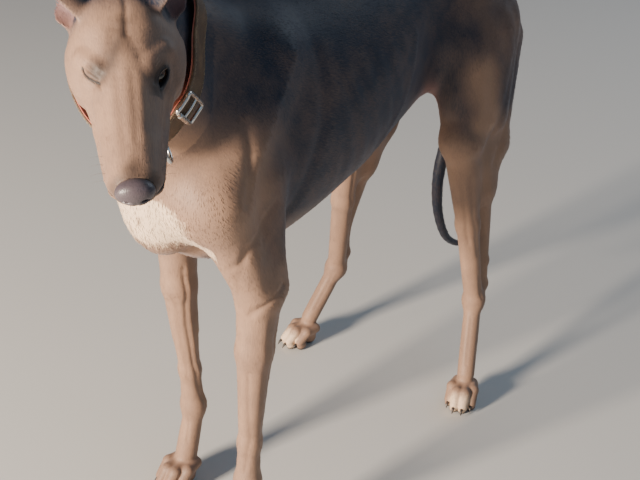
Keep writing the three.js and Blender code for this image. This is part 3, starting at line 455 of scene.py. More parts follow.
def whole_body():
    form = Form()
    form.put(1, loft(TORSO_ROWS, WORLD, 42, 62, 2.1, 1.9, ((0, 280, 550), 470)))
    # Breast, then loin and croup muscles
    form.put(40, egg((4, -58, 518), (48, 44, 72)))
    form.put(30, egg((0, 580, 600), (62, 62, 52)))
    for k, a, b, ra, rb in NECK_CONES:
        form.put(k, cone(a, b, ra, rb))
    for leg in LEGS.values():
        put_foreleg(form, leg)
        put_hindleg(form, leg)
    put_head(form)
    tail = Form()
    bends = tail_bends(4)
    for a, b in zip(bends, bends[1:]):
        tail.put(1, cone(a[:3], b[:3], a[3], b[3]))
    form.put(20, (tail.near, vec(0, 650, 376), 250))
    return form


BODY = whole_body()

# From the form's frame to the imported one, through the middle of the left eye
EYE_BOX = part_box("eye_left")
SHIFT = eye_place(1) - np.array((EYE_BOX[0] + EYE_BOX[1]) / 2) / MM


# Collar frame and the strap's way round the neck

COLLAR_WIDTH = 44
COLLAR_THICK = 4
STRAP_LIFT = 1.2
COLLAR_OVAL = (57, 80, 62)
COLLAR_MIDDLE = (27, -124, 682)
STRAP_COUNT = 144


def collar_axes():
    along = unit(vec(0.36, -0.76, 0.54))
    side = unit(HEAD.left - along * (HEAD.left @ along))
    return Axes(COLLAR_MIDDLE, side, along, np.cross(along, side))


COLLAR = collar_axes()


def neck_form():
    form = Form()
    for k, a, b, ra, rb in NECK_CONES:
        form.put(k, cone(a, b, ra, rb))
    return form


def strap_reach():
    """Distance from the collar's axis to the strap's inner face, at each of its angles."""
    neck = neck_form()
    turn = 2 * np.pi * np.arange(STRAP_COUNT) / STRAP_COUNT
    way = np.outer(np.cos(turn), COLLAR.left) + np.outer(np.sin(turn), COLLAR.up)
    skin = np.zeros(STRAP_COUNT)
    for shift in np.linspace(-0.5, 0.5, 5) * COLLAR_WIDTH:
        start = COLLAR.out(0, shift, 0)
        low, high = np.zeros(STRAP_COUNT), np.full(STRAP_COUNT, 140.0)
        for _ in range(22):
            middle = (low + high) / 2
            inside = neck.near(start + way * middle[:, None]) < 0
            low, high = np.where(inside, middle, low), np.where(inside, high, middle)
        skin = np.maximum(skin, low)
    side, throat, nape = COLLAR_OVAL
    slack = 1 / np.hypot(np.cos(turn) / side, np.sin(turn) / np.where(np.sin(turn) < 0, throat, nape))
    return np.maximum(skin + STRAP_LIFT, slack)


STRAP_REACH = strap_reach()


def on_strap(degrees, along, lift):
    """Points on the strap: angle in degrees, distance along the neck, height above the inner face."""
    degrees, along, lift = np.broadcast_arrays(*(np.atleast_1d(a) for a in (degrees, along, lift)))
    x = (degrees / 360 * STRAP_COUNT) % STRAP_COUNT
    i = np.floor(x).astype(int) % STRAP_COUNT
    j, w = (i + 1) % STRAP_COUNT, x - np.floor(x)
    r = mix(STRAP_REACH[i], STRAP_REACH[j], w) + lift
    g = np.radians(degrees)
    return COLLAR.outs(np.stack([np.cos(g) * r, along, np.sin(g) * r], -1))


# Surfaces of fields

BLOCK = 4


def surface(field, low, high, step):
    """Points and quads of the zero surface of a field inside a box, measured only near the surface."""
    low, high = vec(*low), vec(*high)
    blocks = np.ceil((high - low) / step / BLOCK).astype(int) + 1
    corner = np.stack(np.meshgrid(*[np.arange(n) for n in blocks], indexing="ij"), -1).reshape(-1, 3)
    centre = low + (corner * BLOCK + (BLOCK - 1) / 2) * step
    coarse = field(centre)
    values = np.where(coarse > 0, 1.0, -1.0).reshape(blocks) * 3 * step
    for axis in range(3):
        values = values.repeat(BLOCK, axis)
    band = BLOCK * step * math.sqrt(3) / 2 * 1.35 + 1.5 * step
    kept = corner[np.abs(coarse) < band] * BLOCK
    inner = np.stack(np.meshgrid(*[np.arange(BLOCK)] * 3, indexing="ij"), -1).reshape(-1, 3)
    index = (kept[:, None, :] + inner).reshape(-1, 3)
    fine = field(low + index * step)
    values[tuple(index.T)] = np.clip(fine, -3 * step, 3 * step)
    grid = openvdb.FloatGrid(3 * step)
    grid.copyFromArray(values)
    points, quads = grid.convertToQuads(isovalue=0)
    return low + points.astype(float) * step, quads.astype(int)


def point_normals(points, faces):
    """Area-weighted normals of the points, from lists of faces with the same number of corners."""
    out = np.zeros_like(points)
    for group in faces:
        corner = points[group]
        last = corner[:, 3] if group.shape[1] > 3 else corner[:, 0]
        across = np.cross(corner[:, 2] - corner[:, 0], last - corner[:, 1])
        for i in range(group.shape[1]):
            for axis in range(3):
                out[:, axis] += np.bincount(group[:, i], across[:, axis], len(points))
    return out / np.maximum(length(out), 1e-12)[:, None]


def settled(field, low, high, step, passes=3):
    """Surface of a field as points and faces, its points moved along their normals onto the zero surface."""
    points, quads = surface(field, low, high, step)
    for _ in range(passes):
        points = points - point_normals(points, [quads]) * field(points)[:, None]
    return points, [quads]


def head_box(left, ahead, up):
    """Box that holds a block of the head's own frame, given by its lowest and highest values."""
    corner = np.array([HEAD.out(l, f, u) for l in left for f in ahead for u in up])
    return corner.min(0), corner.max(0)


class Shell:
    """Points and faces of a surface that is still open where parts of it will be sewn together."""

    def __init__(self, points, faces):
        self.points, self.faces = points, faces

    def cut(self, origin, normal, near=None):
        """Keeps the side that the normal points to; only faces with all their points near are cut."""
        bm = bmesh.new()
        verts = [bm.verts.new(p) for p in self.points.tolist()]
        near = np.ones(len(verts), bool) if near is None else near
        faces = []
        for group in self.faces:
            for face, held in zip(group.tolist(), near[group].all(1)):
                made = bm.faces.new([verts[i] for i in face])
                if held:
                    faces.append(made)
        edges = {edge for face in faces for edge in face.edges}
        corners = {vert for face in faces for vert in face.verts}
        bmesh.ops.bisect_plane(bm, geom=list(corners) + list(edges) + faces, dist=1e-4,
                               plane_co=origin, plane_no=normal, clear_inner=True)
        bmesh.ops.triangulate(bm, faces=[f for f in bm.faces if len(f.verts) > 4])
        bm.verts.index_update()
        points = np.array([v.co[:] for v in bm.verts])
        faces = [[v.index for v in f.verts] for f in bm.faces]
        bm.free()
        return Shell(points, grouped(faces))

    def largest_part(self, near):
        """Keeps the connected part that holds the point nearest to the given one."""
        start = np.argmin(length(self.points - near))
        label = np.arange(len(self.points))
        pairs = np.concatenate([np.stack([g, np.roll(g, 1, 1)], -1).reshape(-1, 2) for g in self.faces])
        while True:
            low = np.minimum(label[pairs[:, 0]], label[pairs[:, 1]])
            before = label.copy()
            np.minimum.at(label, pairs[:, 0], low)
            np.minimum.at(label, pairs[:, 1], low)
            label = label[label]
            if (label == before).all():
                break
        kept = label == label[start]
        index = np.cumsum(kept) - 1
        return Shell(self.points[kept], [index[g[kept[g[:, 0]]]] for g in self.faces])

    def rims(self):
        """Open edges as closed loops of point numbers, in the direction of their faces."""
        ahead = {}
        for group in self.faces:
            for face in group.tolist():
                for a, b in zip(face, face[1:] + face[:1]):
                    ahead[(a, b)] = True
        follow = {a: b for a, b in ahead if (b, a) not in ahead}
        loops = []
        while follow:
            start, at = next(iter(follow.items()))
            loop = [start]
            del follow[start]
            while at != start:
                loop.append(at)
                at = follow.pop(at)
            loops.append(loop)
        return [loop for loop in loops if len(loop) > 8]


def grouped(faces):
    """Faces as one array of triangles and one of quads."""
    return [np.array(group, int).reshape(-1, n)
            for n in (3, 4) for group in [[f for f in faces if len(f) == n]] if group]


def sewn(shells):
    """One surface from shells whose rims face one another a little way apart."""
    offset, points, faces, rims = 0, [], [], []
    for shell in shells:
        points.append(shell.points)
        faces += [g + offset for g in shell.faces]
        rims += [np.array(loop) + offset for loop in shell.rims()]
        offset += len(shell.points)
    points = np.concatenate(points)
    strips = []
    while rims:
        first = rims.pop(0)
        middle = points[first].mean(0)
        other = min(range(len(rims)), key=lambda i: np.linalg.norm(points[rims[i]].mean(0) - middle))
        strips += strip(points, first, rims.pop(other)[::-1])
    return points, faces + [np.array(strips)]


def strip(points, a, b):
    """Triangles between two rims, a walked against its faces' direction and b along with it."""
    b = np.roll(b, -np.argmin(length(points[b] - points[a[0]])))
    i, j, out = 0, 0, []
    while i < len(a) or j < len(b):
        ai, bj = a[i % len(a)], b[j % len(b)]
        an, bn = a[(i + 1) % len(a)], b[(j + 1) % len(b)]
        step_a = np.linalg.norm(points[an] - points[bj]) < np.linalg.norm(points[ai] - points[bn])
        if j >= len(b) or (step_a and i < len(a)):
            out.append((an, ai, bj))
            i += 1
        else:
            out.append((ai, bj, bn))
            j += 1
    return out


def new_mesh(name, points, faces, marks=None, streaks=None, normals=None):
    """Mesh object from points in millimetres of the form's frame and lists of faces."""
    mesh = bpy.data.meshes.new(name)
    corners = [np.asarray(g, int) for g in faces]
    sizes = np.concatenate([np.full(len(g), g.shape[1]) for g in corners])
    mesh.vertices.add(len(points))
    mesh.vertices.foreach_set("co", ((points - SHIFT) * MM).astype(np.float32).ravel())
    mesh.loops.add(int(sizes.sum()))
    mesh.loops.foreach_set("vertex_index", np.concatenate([g.ravel() for g in corners]).astype(np.int32))
    mesh.polygons.add(len(sizes))
    mesh.polygons.foreach_set("loop_start", np.concatenate([[0], np.cumsum(sizes)[:-1]]).astype(np.int32))
    mesh.polygons.foreach_set("use_smooth", np.full(len(sizes), True))
    mesh.update(calc_edges=True)
    for key, values in (("marks", marks), ("streaks", streaks)):
        if values is not None:
            layer = mesh.attributes.new(key, "FLOAT_COLOR", "POINT")
            layer.data.foreach_set("color", np.clip(values, 0, 1).astype(np.float32).ravel())
    if normals is not None:
        mesh.normals_split_custom_set_from_vertices(normals.tolist())
    piece = bpy.data.objects.new(name, mesh)
    bpy.context.scene.collection.objects.link(piece)
    return piece


def finished(piece, slot, material, *nodes):
    """Gives a piece its material and place on the body, and lets it replace the nodes it stands for."""
    piece.data.materials.append(material)
    if nodes:
        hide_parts(*nodes)
    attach(piece, "root")


# Ears, lids, mouth and nose

EAR_PATH = [
    (33, -62, 6), (42, -67, 13), (54, -75, 19), (64, -89, 21), (67, -109, 15), (63, -130, 4), (57, -147, -7),
]
EAR_WIDTH = [28, 33, 37, 36, 30, 20, 7]
EAR_CURL = [118, 112, 100, 84, 70, 60, 50]
EAR_HALF = 1.3
EAR_STEPS = 40
EAR_COLUMNS = 24


def ear_grid(s):
    """Middle surface of an ear as a grid of points, root to tip and rim to rim."""
    rows = [(i, *HEAD.out(a * s, f, u), w, c)
            for i, ((a, f, u), w, c) in enumerate(zip(EAR_PATH, EAR_WIDTH, EAR_CURL))]
    t = np.linspace(0, len(EAR_PATH) - 1, EAR_STEPS)
    table = smooth_table(rows)(t)
    path, width, curl = table[:, :3], table[:, 3], np.radians(table[:, 4])
    run = np.gradient(path, axis=0)
    run /= length(run)[:, None]
    face = unit(HEAD.left * 0.55 * s + HEAD.forward * 0.8 - HEAD.up * 0.1)
    flap = HEAD.left * 0.75 * s - HEAD.up * 0.65
    turn = np.clip((t - 2) / 3, 0, 1)[:, None]
    want = face * (1 - turn) + flap * turn
    mouth = want - run * np.einsum("ij,ij->i", want, run)[:, None]
    mouth /= length(mouth)[:, None]
    wide = np.cross(run, mouth) * s
    across = np.linspace(-1, 1, EAR_COLUMNS)
    g, r = curl[:, None] * across, width[:, None] / 2
    return (path[:, None] + wide[:, None] * (np.sin(g) * r)[:, :, None]
            - mouth[:, None] * (np.cos(g) * r)[:, :, None])


def sheet(grid, half):
    """Thin curved sheet through a grid of points, half its thickness to each side."""
    n, m = grid.shape[:2]
    points = grid.reshape(-1, 3)
    a = (np.arange(n - 1)[:, None] * m + np.arange(m - 1)).ravel()
    faces = np.concatenate([np.stack([a, a + 1, a + m + 1], 1), np.stack([a, a + m + 1, a + m], 1)])
    thick = half.ravel()[faces].mean(1)
    tree = BVHTree.FromPolygons(points.tolist(), faces.tolist())
    middle = points.mean(0)

    def distance(p):
        found = [tree.find_nearest(q) for q in p.tolist()]
        return np.array([f[3] for f in found]) - thick[[f[2] for f in found]]

    return distance, middle, length(points - middle).max() + EAR_HALF


def lid_axes(s):
    aim = eye_aim(s)
    slope = HEAD.left * 0.8 * s - HEAD.forward * 0.5 + HEAD.up * 0.36
    along = unit(slope - aim * (slope @ aim))
    return Axes(eye_place(s), along, aim, np.cross(aim, along))


def shut_axes():
    """Axes of the closed lids' line, which lies above the middle of the eye."""
    lid = LIDS[-1]
    along = unit(24 * lid.left + 4.6 * lid.up)
    return Axes(lid.origin - 5.2 * lid.up + lid.left, along, lid.forward, np.cross(lid.forward, along))


LIDS = {s: lid_axes(s) for s in (1, -1)}
SHUT_LIDS = shut_axes()
OPEN_LID = (18, 8.8)
LID_DEPTH = 4


def lid_opening(s, size):
    """Almond-shaped opening between the lids, along the aim of the eye."""
    width, height = size
    axes = LIDS[s]

    def distance(p):
        x, z, y = axes.into(p).T
        arch = 1 - (2 * x / width) ** 2
        edge = height / 2 * np.clip(arch, 0, 1) ** 0.65
        side = np.abs(y - 0.35 * height * arch * 0.2) - edge
        return np.maximum(np.maximum(side, np.abs(x) - width / 2), EYE_RADIUS - LID_DEPTH - z)

    return distance, axes.origin + axes.forward * EYE_RADIUS, width / 2 + 6


def nose_form(grow=0.0):
    form = Form()
    form.put(1, egg(HEAD.out(0, 123.5, -4), vec(17, 10.5, 12.5) + grow, HEAD))
    form.put(4, egg(HEAD.out(0, 126.5, 0), vec(14.5, 7.5, 8.5) + grow, HEAD))
    return form


def skin_depth(p):
    """How far the skin lies under the outline of the coat: least on face, ears and feet."""
    face = smooth((p - COLLAR.origin) @ COLLAR.forward, -10, 45)
    foot = 1 - smooth(p[:, 2], 60, 150)
    return mix(COAT_DEPTH, FINE_COAT_DEPTH, np.maximum(face, foot))


def body_skin(p):
    return np.maximum(BODY(p) + skin_depth(p), SOLE_LIFT - p[:, 2])


def head_skin():
    """Field of the head with ears, the open eye's socket and the nose's seat, ended behind the collar."""
    changes = [(join, sheet(ear_grid(s), ear_half()), 8, 10) for s in (1, -1)]
    changes += [
        (carve, ball(eye_place(1), EYE_RADIUS + 0.15), 0.5, 8),
        (carve, lid_opening(1, OPEN_LID), 0.8, 8),
        (carve, (nose_form(-0.5), HEAD.out(0, 122, -2), 30), 1, 0),
    ]

    def field(p):
        d = body_skin(p)
        d = np.maximum(d, NECK_STOP - (p - COLLAR.origin) @ COLLAR.forward)
        for change, (distance, centre, radius), soft, margin in changes:
            close = length(p - centre) < radius + margin
            if close.any():
                d[close] = change(d[close], distance(p[close]), soft)
        return d

    return field


def ear_half():
    """Half thickness of the ear over its grid: thin at the rims and towards the tip."""
    rim = 1 - 0.45 * np.linspace(-1, 1, EAR_COLUMNS) ** 4
    tip = np.linspace(1, 0.7, EAR_STEPS)
    return (EAR_HALF - 0.25) * tip[:, None] * rim


def trunk_skin(p):
    """The body's skin without the lower legs, which have a finer grid of their own."""
    lower = LEG_CUT - 14 - p[:, 2]
    return np.where(np.abs(p[:, 0]) > LEG_SIDE, np.maximum(body_skin(p), lower), body_skin(p))


def whole_skin():
    """Points and faces of the skin: head, trunk and four legs, each on its own grid, sewn together."""
    box = head_box((-82, 82), (-165, 148), (-85, 60))
    head = Shell(*settled(head_skin(), *box, HEAD_STEP)).largest_part(HEAD.out(0, 60, 10))
    around = COLLAR.into(head.points)
    turn = np.degrees(np.arctan2(around[:, 2], around[:, 0])) % 360
    ring = np.arange(STRAP_COUNT + 1) * 360 / STRAP_COUNT
    strap = np.interp(turn, ring, np.append(STRAP_REACH, STRAP_REACH[0]))
    near = (np.abs(around[:, 1]) < 14) & (np.hypot(around[:, 0], around[:, 2]) < strap + 1.5)
    head = head.cut(COLLAR.out(0, SEAM, 0), COLLAR.forward, near)
    trunk = Shell(*settled(trunk_skin, vec(-205, -165, TAIL_END), vec(205, 715, 790), BODY_STEP))
    trunk = trunk.cut(COLLAR.out(0, -SEAM, 0), -COLLAR.forward)
    legs = np.abs(trunk.points[:, 0]) > LEG_SIDE
    trunk = trunk.cut(vec(0, 0, LEG_CUT + SEAM), vec(0, 0, 1), legs).largest_part(vec(0, 200, 700))
    shells = [head, trunk]
    for leg in LEGS.values():
        for joints, way in ((("elbow", "carpus", "knuckle"), "fore"), (("stifle", "hock", "ball"), "hind")):
            base = leg[joints[-1]]
            places = np.array([leg[name] for name in joints] + [base + leg[way] * 55])
            low, high = places.min(0) - vec(40, 50, 0), places.max(0) + vec(40, 60, 0)
            low[2], high[2] = -14, LEG_CUT + 12
            lower = Shell(*settled(body_skin, low, high, LEG_STEP))
            shells.append(lower.cut(vec(0, 0, LEG_CUT - SEAM), vec(0, 0, -1)).largest_part(base))
    return sewn(shells)


# Small round things

def tube_quads(rings, sides, closed=False):
    """Faces between rings of points that follow one another, the last joined to the first if closed."""
    rows = np.arange(rings if closed else rings - 1)[:, None] * sides
    ahead = (rows + sides) % (rings * sides)
    j = np.arange(sides)
    k = (j + 1) % sides
    return np.stack([rows + j, ahead + j, ahead + k, rows + k], -1).reshape(-1, 4)


def round_bar(path, radii, sides, closed=False, flat=1.0, up=(0, 0, 1)):
    """Points and faces of a bar of round section along a path."""
    path, n = np.asarray(path, float), len(path)
    if closed:
        run = np.roll(path, -1, 0) - np.roll(path, 1, 0)
    else:
        run = np.gradient(path, axis=0)
    run /= length(run)[:, None]
    a = np.cross(run, np.tile(vec(*up), (n, 1)))
    bad = length(a) < 0.1
    a[bad] = np.cross(run[bad], vec(1, 0, 0))
    a /= length(a)[:, None]
    b = np.cross(run, a)
    g = 2 * np.pi * np.arange(sides) / sides
    r = np.broadcast_to(radii, (n,))[:, None, None]
    around = a[:, None] * np.cos(g)[None, :, None] + b[:, None] * np.sin(g)[None, :, None] * flat
    points = (path[:, None] + around * r).reshape(-1, 3)
    quads = tube_quads(n, sides, closed)
    if closed:
        return points, [quads]
    points = np.concatenate([points, path[:1], path[-1:]])
    j = np.arange(sides)
    k = (j + 1) % sides
    end = (n - 1) * sides
    start_cap = np.stack([np.full(sides, n * sides), j, k], 1)
    end_cap = np.stack([np.full(sides, n * sides + 1), end + k, end + j], 1)
    return points, [quads, np.concatenate([start_cap, end_cap])]


def merged(parts):
    """One list of points and faces from several."""
    offset, points, faces = 0, [], {}
    for some_points, some_faces in parts:
        points.append(some_points)
        for group in some_faces:
            faces.setdefault(group.shape[1], []).append(group + offset)
        offset += len(some_points)
    return np.concatenate(points), [np.concatenate(groups) for groups in faces.values()]


CLAW_PATH = [(4, 1.05, 15), (12, 1.08, 12), (16, 1.1, 6)]
CLAW_RADII = (3, 2.3, 0.5)


def claws():
    parts = []
    for leg in LEGS.values():
        for base, way, size in ((leg["knuckle"], leg["fore"], 1), (leg["ball"], leg["hind"], HIND_SIZE)):
            at = paw_point(base, way, size)
            for side, lead in TOES:
                rows = [(i, *at(lead + ahead, side * spread, z), r)
                        for i, ((ahead, spread, z), r) in enumerate(zip(CLAW_PATH, CLAW_RADII))]
                path = smooth_table(rows)(np.linspace(0, 2, 9))
                parts.append(round_bar(path[:, :3], path[:, 3] * size * 0.93, 10, flat=0.86))
    return merged(parts)


def nose_leather():
    """Nose with comma-shaped nostrils and the groove between them."""
    form, cuts = nose_form(), Form()
    for s in (1, -1):
        cuts.put(1, cone(HEAD.out(5.5 * s, 142, -7.5), HEAD.out(8 * s, 129, -6), 3.2, 2.8))
        cuts.put(1, cone(HEAD.out(8 * s, 129, -6), HEAD.out(11 * s, 123, -4), 2.8, 1.5))
        cuts.put(1, cone(HEAD.out(8 * s, 132, -8), HEAD.out(19 * s, 122, -8.5), 1.4, 1.1))
    cuts.put(0.5, cone(HEAD.out(0, 137.5, -3), HEAD.out(0, 131, -17), 0.9, 1.1))

    def field(p):
        d = carve(form.near(p), cuts.near(p), 1.6)
        return np.maximum(d, 110 - HEAD.into(p)[:, 1])

    return settled(field, *head_box((-22, 22), (104, 140), (-22, 18)), NOSE_STEP, 2)


def eyeball(s):
    """Eyeball as a fine ball with its clear front a little domed."""
    axes, r = LIDS[s], EYE_RADIUS
    bands, columns = 40, 48
    rise = np.linspace(0, np.pi, bands)
    bulge = r + CORNEA_RISE * bell(rise, 0.45)
    ring = np.linspace(0, 2 * np.pi, columns, endpoint=False)
    x = np.outer(np.sin(rise) * bulge, np.cos(ring))
    z = np.outer(np.sin(rise) * bulge, np.sin(ring))
    y = np.repeat((np.cos(rise) * bulge)[:, None], columns, 1)
    points = axes.outs(np.stack([x, y, z], -1).reshape(-1, 3))
    return points, [tube_quads(bands, columns)]


# Collar pieces

def strap_band(section):
    """Closed band through one section of (along, lift) points at each angle of the strap."""
    section = np.array(section, float)
    turn = np.arange(STRAP_COUNT) * 360 / STRAP_COUNT
    points = on_strap(turn[:, None], section[:, 0], section[:, 1]).reshape(-1, 3)
    return points, [tube_quads(STRAP_COUNT, len(section), True)[:, [0, 3, 2, 1]]]


# Relief of the skin: lines pressed in or raised along the surface, each as
# (axis that is left out, the side it is seen from, points, width, height)

HEAD_LINES = [
    (2, 1, [(5, -76), (6, -48), (5, -22)], 3.0, -1.2),
    (2, 1, [(-5, -28), (-9, -13), (-14, -2), (-20, 9)], 6.5, -1.9),
    (2, 1, [(6, -28), (10, -13), (15, -3), (20, 7)], 6, -1.0),
    (2, 1, [(1, -2), (1, 50), (0, 100)], 4, 0.3),
    (1, 1, [(0, -17), (0, -22)], 1.0, -1.2),
]
PAIRED_HEAD_LINES = [
    (2, 1, [(21, 1), (30, -10), (37, -20)], 5, 0.7),
    (2, 1, [(6.5, 14), (6.5, 50), (5.5, 80)], 3.2, -0.3),
    (2, 1, [(13, 16), (12.5, 52), (10, 92)], 4, 0.3),
    (2, 1, [(21, 26), (18, 66)], 5, -0.5),
    (2, 1, [(24, -70), (26, -42)], 13, 2.0),
    (0, 1, [(17, -8), (34, -13), (54, -13)], 7, -1.5),
    (0, 1, [(12, -17), (-14, -18), (-46, -13)], 5.5, 1.4),
    (0, 1, [(-12, -36), (-30, -46), (-50, -40)], 7, -1.6),
    (0, 1, [(34, -21.5), (52, -20.5), (72, -18.5), (100, -15)], 3.4, 1.1),
    (0, 1, [(40, -31), (68, -29.5), (98, -25)], 3.2, 0.7),
    (0, 1, [(37, -27.5), (28, -33), (22, -41)], 2.2, -1.3),
    (0, 1, [(24, -4), (46, -9), (70, -5), (88, -9)], 1.7, 0.5),
    (0, 1, [(8, -19), (24, -23), (34, -30)], 1.7, 0.45),
]
MOUTH = [(37, -27.2), (50, -26.2), (62, -25.4), (76, -23.8), (88, -21.6), (100, -20), (112, -19.4)]
MOUTH_TIP = [(-24, -20.5), (-15, -19.4), (0, -18), (15, -19.4), (24, -20.5)]
# Across the closed eye the second number grows towards the cheek
CLOSED_EYE = [(-12, 0.2), (-6, 1.1), (0, 1.4), (6, 1.0), (12, -0.6)]
CLOSED_FOLDS = [
    (CLOSED_EYE, 1.5, -1.3),
    ([(-11, -3.4), (-4, -4.6), (5, -4.4), (11, -3.6)], 1.6, -0.8),
    ([(-9, -8.0), (0, -9.0), (9, -7.4)], 2.0, -0.7),
    ([(-8, 6.0), (0, 7.2), (8, 5.6)], 1.8, -0.6),
    ([(11, -0.4), (17, -2.0)], 1.5, -0.8),
    ([(-11, 0.2), (-17, 1.4)], 1.6, -0.9),
    ([(-7, -1.6), (0, -1.8), (7, -1.6)], 1.9, 0.7),
]
OPEN_FOLDS = [
    ([(-9, 7.4), (0, 9.6), (9, 7.0)], 1.4, -0.9),
    ([(-8, -7.4), (0, -8.8), (8, -6.8)], 1.4, -0.7),
    ([(-10, 0), (-14, -1.6), (-18, -4.0)], 1.4, -0.9),
    ([(10, 0.4), (14, 1.6)], 1.2, -0.6),
]
# Seen from the animal's side, in (y, z), measured on its left; moved with the leg on its right
SHOULDER_LINES = [
    ([(-16, 602), (-21, 575), (-30, 550), (-42, 526)], 6, -2.6),
    ([(16, 504), (-4, 484), (-34, 466), (-44, 440)], 5.5, -2.0),
    ([(70, 656), (24, 604), (-26, 548)], 9, 1.8),
    ([(126, 640), (118, 560), (84, 470), (52, 424)], 11, -2.4),
    ([(27, 398), (4, 392), (-12, 382), (-20, 366)], 3.6, -2.4),
    ([(-38, 470), (-36, 430), (-30, 396)], 4.5, -1.5),
    ([(6, 470), (28, 440), (44, 408)], 8, 1.6),
    ([(-14, 480), (-18, 440), (-14, 404)], 8, 1.2),
]
HAUNCH_LINES = [
    ([(548, 612), (556, 548), (534, 482), (512, 436)], 9, -1.9),
    ([(452, 572), (458, 508), (462, 448)], 8, -1.7),
    ([(500, 600), (512, 520), (500, 460)], 12, 1.6),
    ([(588, 540), (573, 480), (548, 420), (526, 384)], 6, -2.0),
    ([(468, 408), (500, 398), (530, 400)], 6, -1.0),
]
# Seen on a limb from outside, inside or in front, in (distance from the line between its joints, z)
FORELIMB_LINES = [
    ("outside", [(11, 330), (7, 280), (5, 220), (3, 160)], 3.6, -0.9),
    ("outside", [(-10, 356), (-12, 300), (-9, 230)], 6, 1.0),
    ("outside", [(19, 350), (15, 270)], 5, 0.7),
    ("outside", [(14, 220), (15, 140)], 2.4, 0.8),
    ("inside", [(-13, 345), (-12, 259), (-4, 166), (5, 122)], 2.6, -1.2),
    ("inside", [(-7, 350), (-6, 262), (2, 168), (10, 124)], 2.0, 0.8),
    ("inside", [(9, 340), (10, 240)], 6, 1.0),
    ("front", [(9, 290), (8, 250), (10, 190), (5, 140)], 2.8, -0.8),
    ("front", [(0, 340), (1, 240), (0, 165)], 6, 0.6),
    ("front", [(-9, 300), (-7, 250), (-8, 170)], 3.0, -0.5),
    ("front", [(-4, 108), (-5, 70)], 1.9, -0.6),
    ("front", [(5, 108), (6, 70)], 1.9, -0.6),
]
HINDLIMB_LINES = [
    ("outside", [(-12, 380), (-9, 316), (-3, 240)], 3.6, -1.0),
    ("outside", [(4, 392), (16, 330), (8, 270), (12, 214)], 2.0, 0.7),
    ("outside", [(20, 310), (16, 240), (14, 190)], 6, -2.6),
    ("outside", [(30, 390), (28, 345)], 9, 1.4),
    ("outside", [(-2, 200), (-2, 160)], 2.4, -0.9),
    ("inside", [(-10, 390), (-6, 300), (0, 230)], 3.2, -1.3),
    ("inside", [(20, 310), (16, 240), (14, 190)], 6, -2.4),
    ("front", [(0, 380), (0, 300), (0, 200)], 5, 0.9),
    ("front", [(9, 360), (8, 260)], 3, -1.0),
]
HOCK_LINES = [
    ("outside", [(4, 150), (3, 110), (2, 66)], 2.8, -0.6),
    ("outside", [(10, 140), (9, 90)], 2.6, 0.6),
    ("inside", [(4, 150), (3, 110), (2, 66)], 2.6, -0.7),
    ("front", [(0, 135), (0, 66)], 3.5, 0.4),
    ("front", [(6, 130), (6, 66)], 2.2, -0.45),
    ("front", [(-6, 130), (-6, 66)], 2.2, -0.45),
]
LIMBS = [
    ("elbow", "carpus", FORELIMB_LINES), ("stifle", "hock", HINDLIMB_LINES), ("hock", "ball", HOCK_LINES),
]
FLANK_LINES = [
    ([(338, 612), (326, 520), (262, 436)], 9, 1.6),
    ([(392, 600), (404, 556)], 34, -4.0),
    ([(470, 668), (486, 662)], 12, 3.0),
    ([(430, 540), (444, 500)], 9, 1.5),
]
RIB_GAP = 33
RIB_HEIGHT = 0.55
VERTEBRA_GAP = 31


def off_line(points, line):
    """Distance of points from a broken line, in as many dimensions as they have."""
    best = np.full(len(points), 1e9)
    for a, b in zip(line, line[1:]):
        a, b = vec(*a), vec(*b)
        t = np.clip((points - a) @ (b - a) / ((b - a) @ (b - a)), 0, 1)
        best = np.minimum(best, length(points - a - t[:, None] * (b - a)))
    return best


def press(rise, points, normals, axes, line, reach):
    """Adds one line of relief to the rise of the points."""
    flat, side, path, width, height = line
    keep = [i for i in range(3) if i != flat]
    seen = smooth(normals @ axes.rows[flat] * side, 0.05, 0.45) * reach
    rise += height * bell(off_line(axes.into(points)[:, keep], path), width) * seen


def press_limb(rise, points, normals, leg, top, bottom, lines):
    """Adds the relief of one length of a leg."""
    a, b = leg[top], leg[bottom]
    share = (a[2] - points[:, 2]) / (a[2] - b[2])
    off = points[:, :2] - a[:2] - share[:, None] * (b - a)[:2]
    beside = (length(off) < 60) & (points[:, 0] * leg["side"] > 30)
    near = np.flatnonzero((share > -0.1) & (share < 1.3) & beside)
    off, side, height = off[near], normals[near], points[near, 2]
    outward = side[:, 0] * leg["side"]
    seen = {
        "outside": (off[:, 1], outward),
        "inside": (off[:, 1], -outward),
        "front": (off[:, 0] * leg["side"], -side[:, 1]),
    }
    for name, path, width, amount in lines:
        across, facing = seen[name]
        gap = off_line(np.stack([across, height], 1), path)
        rise[near] += amount * bell(gap, width) * smooth(facing, 0.05, 0.5)


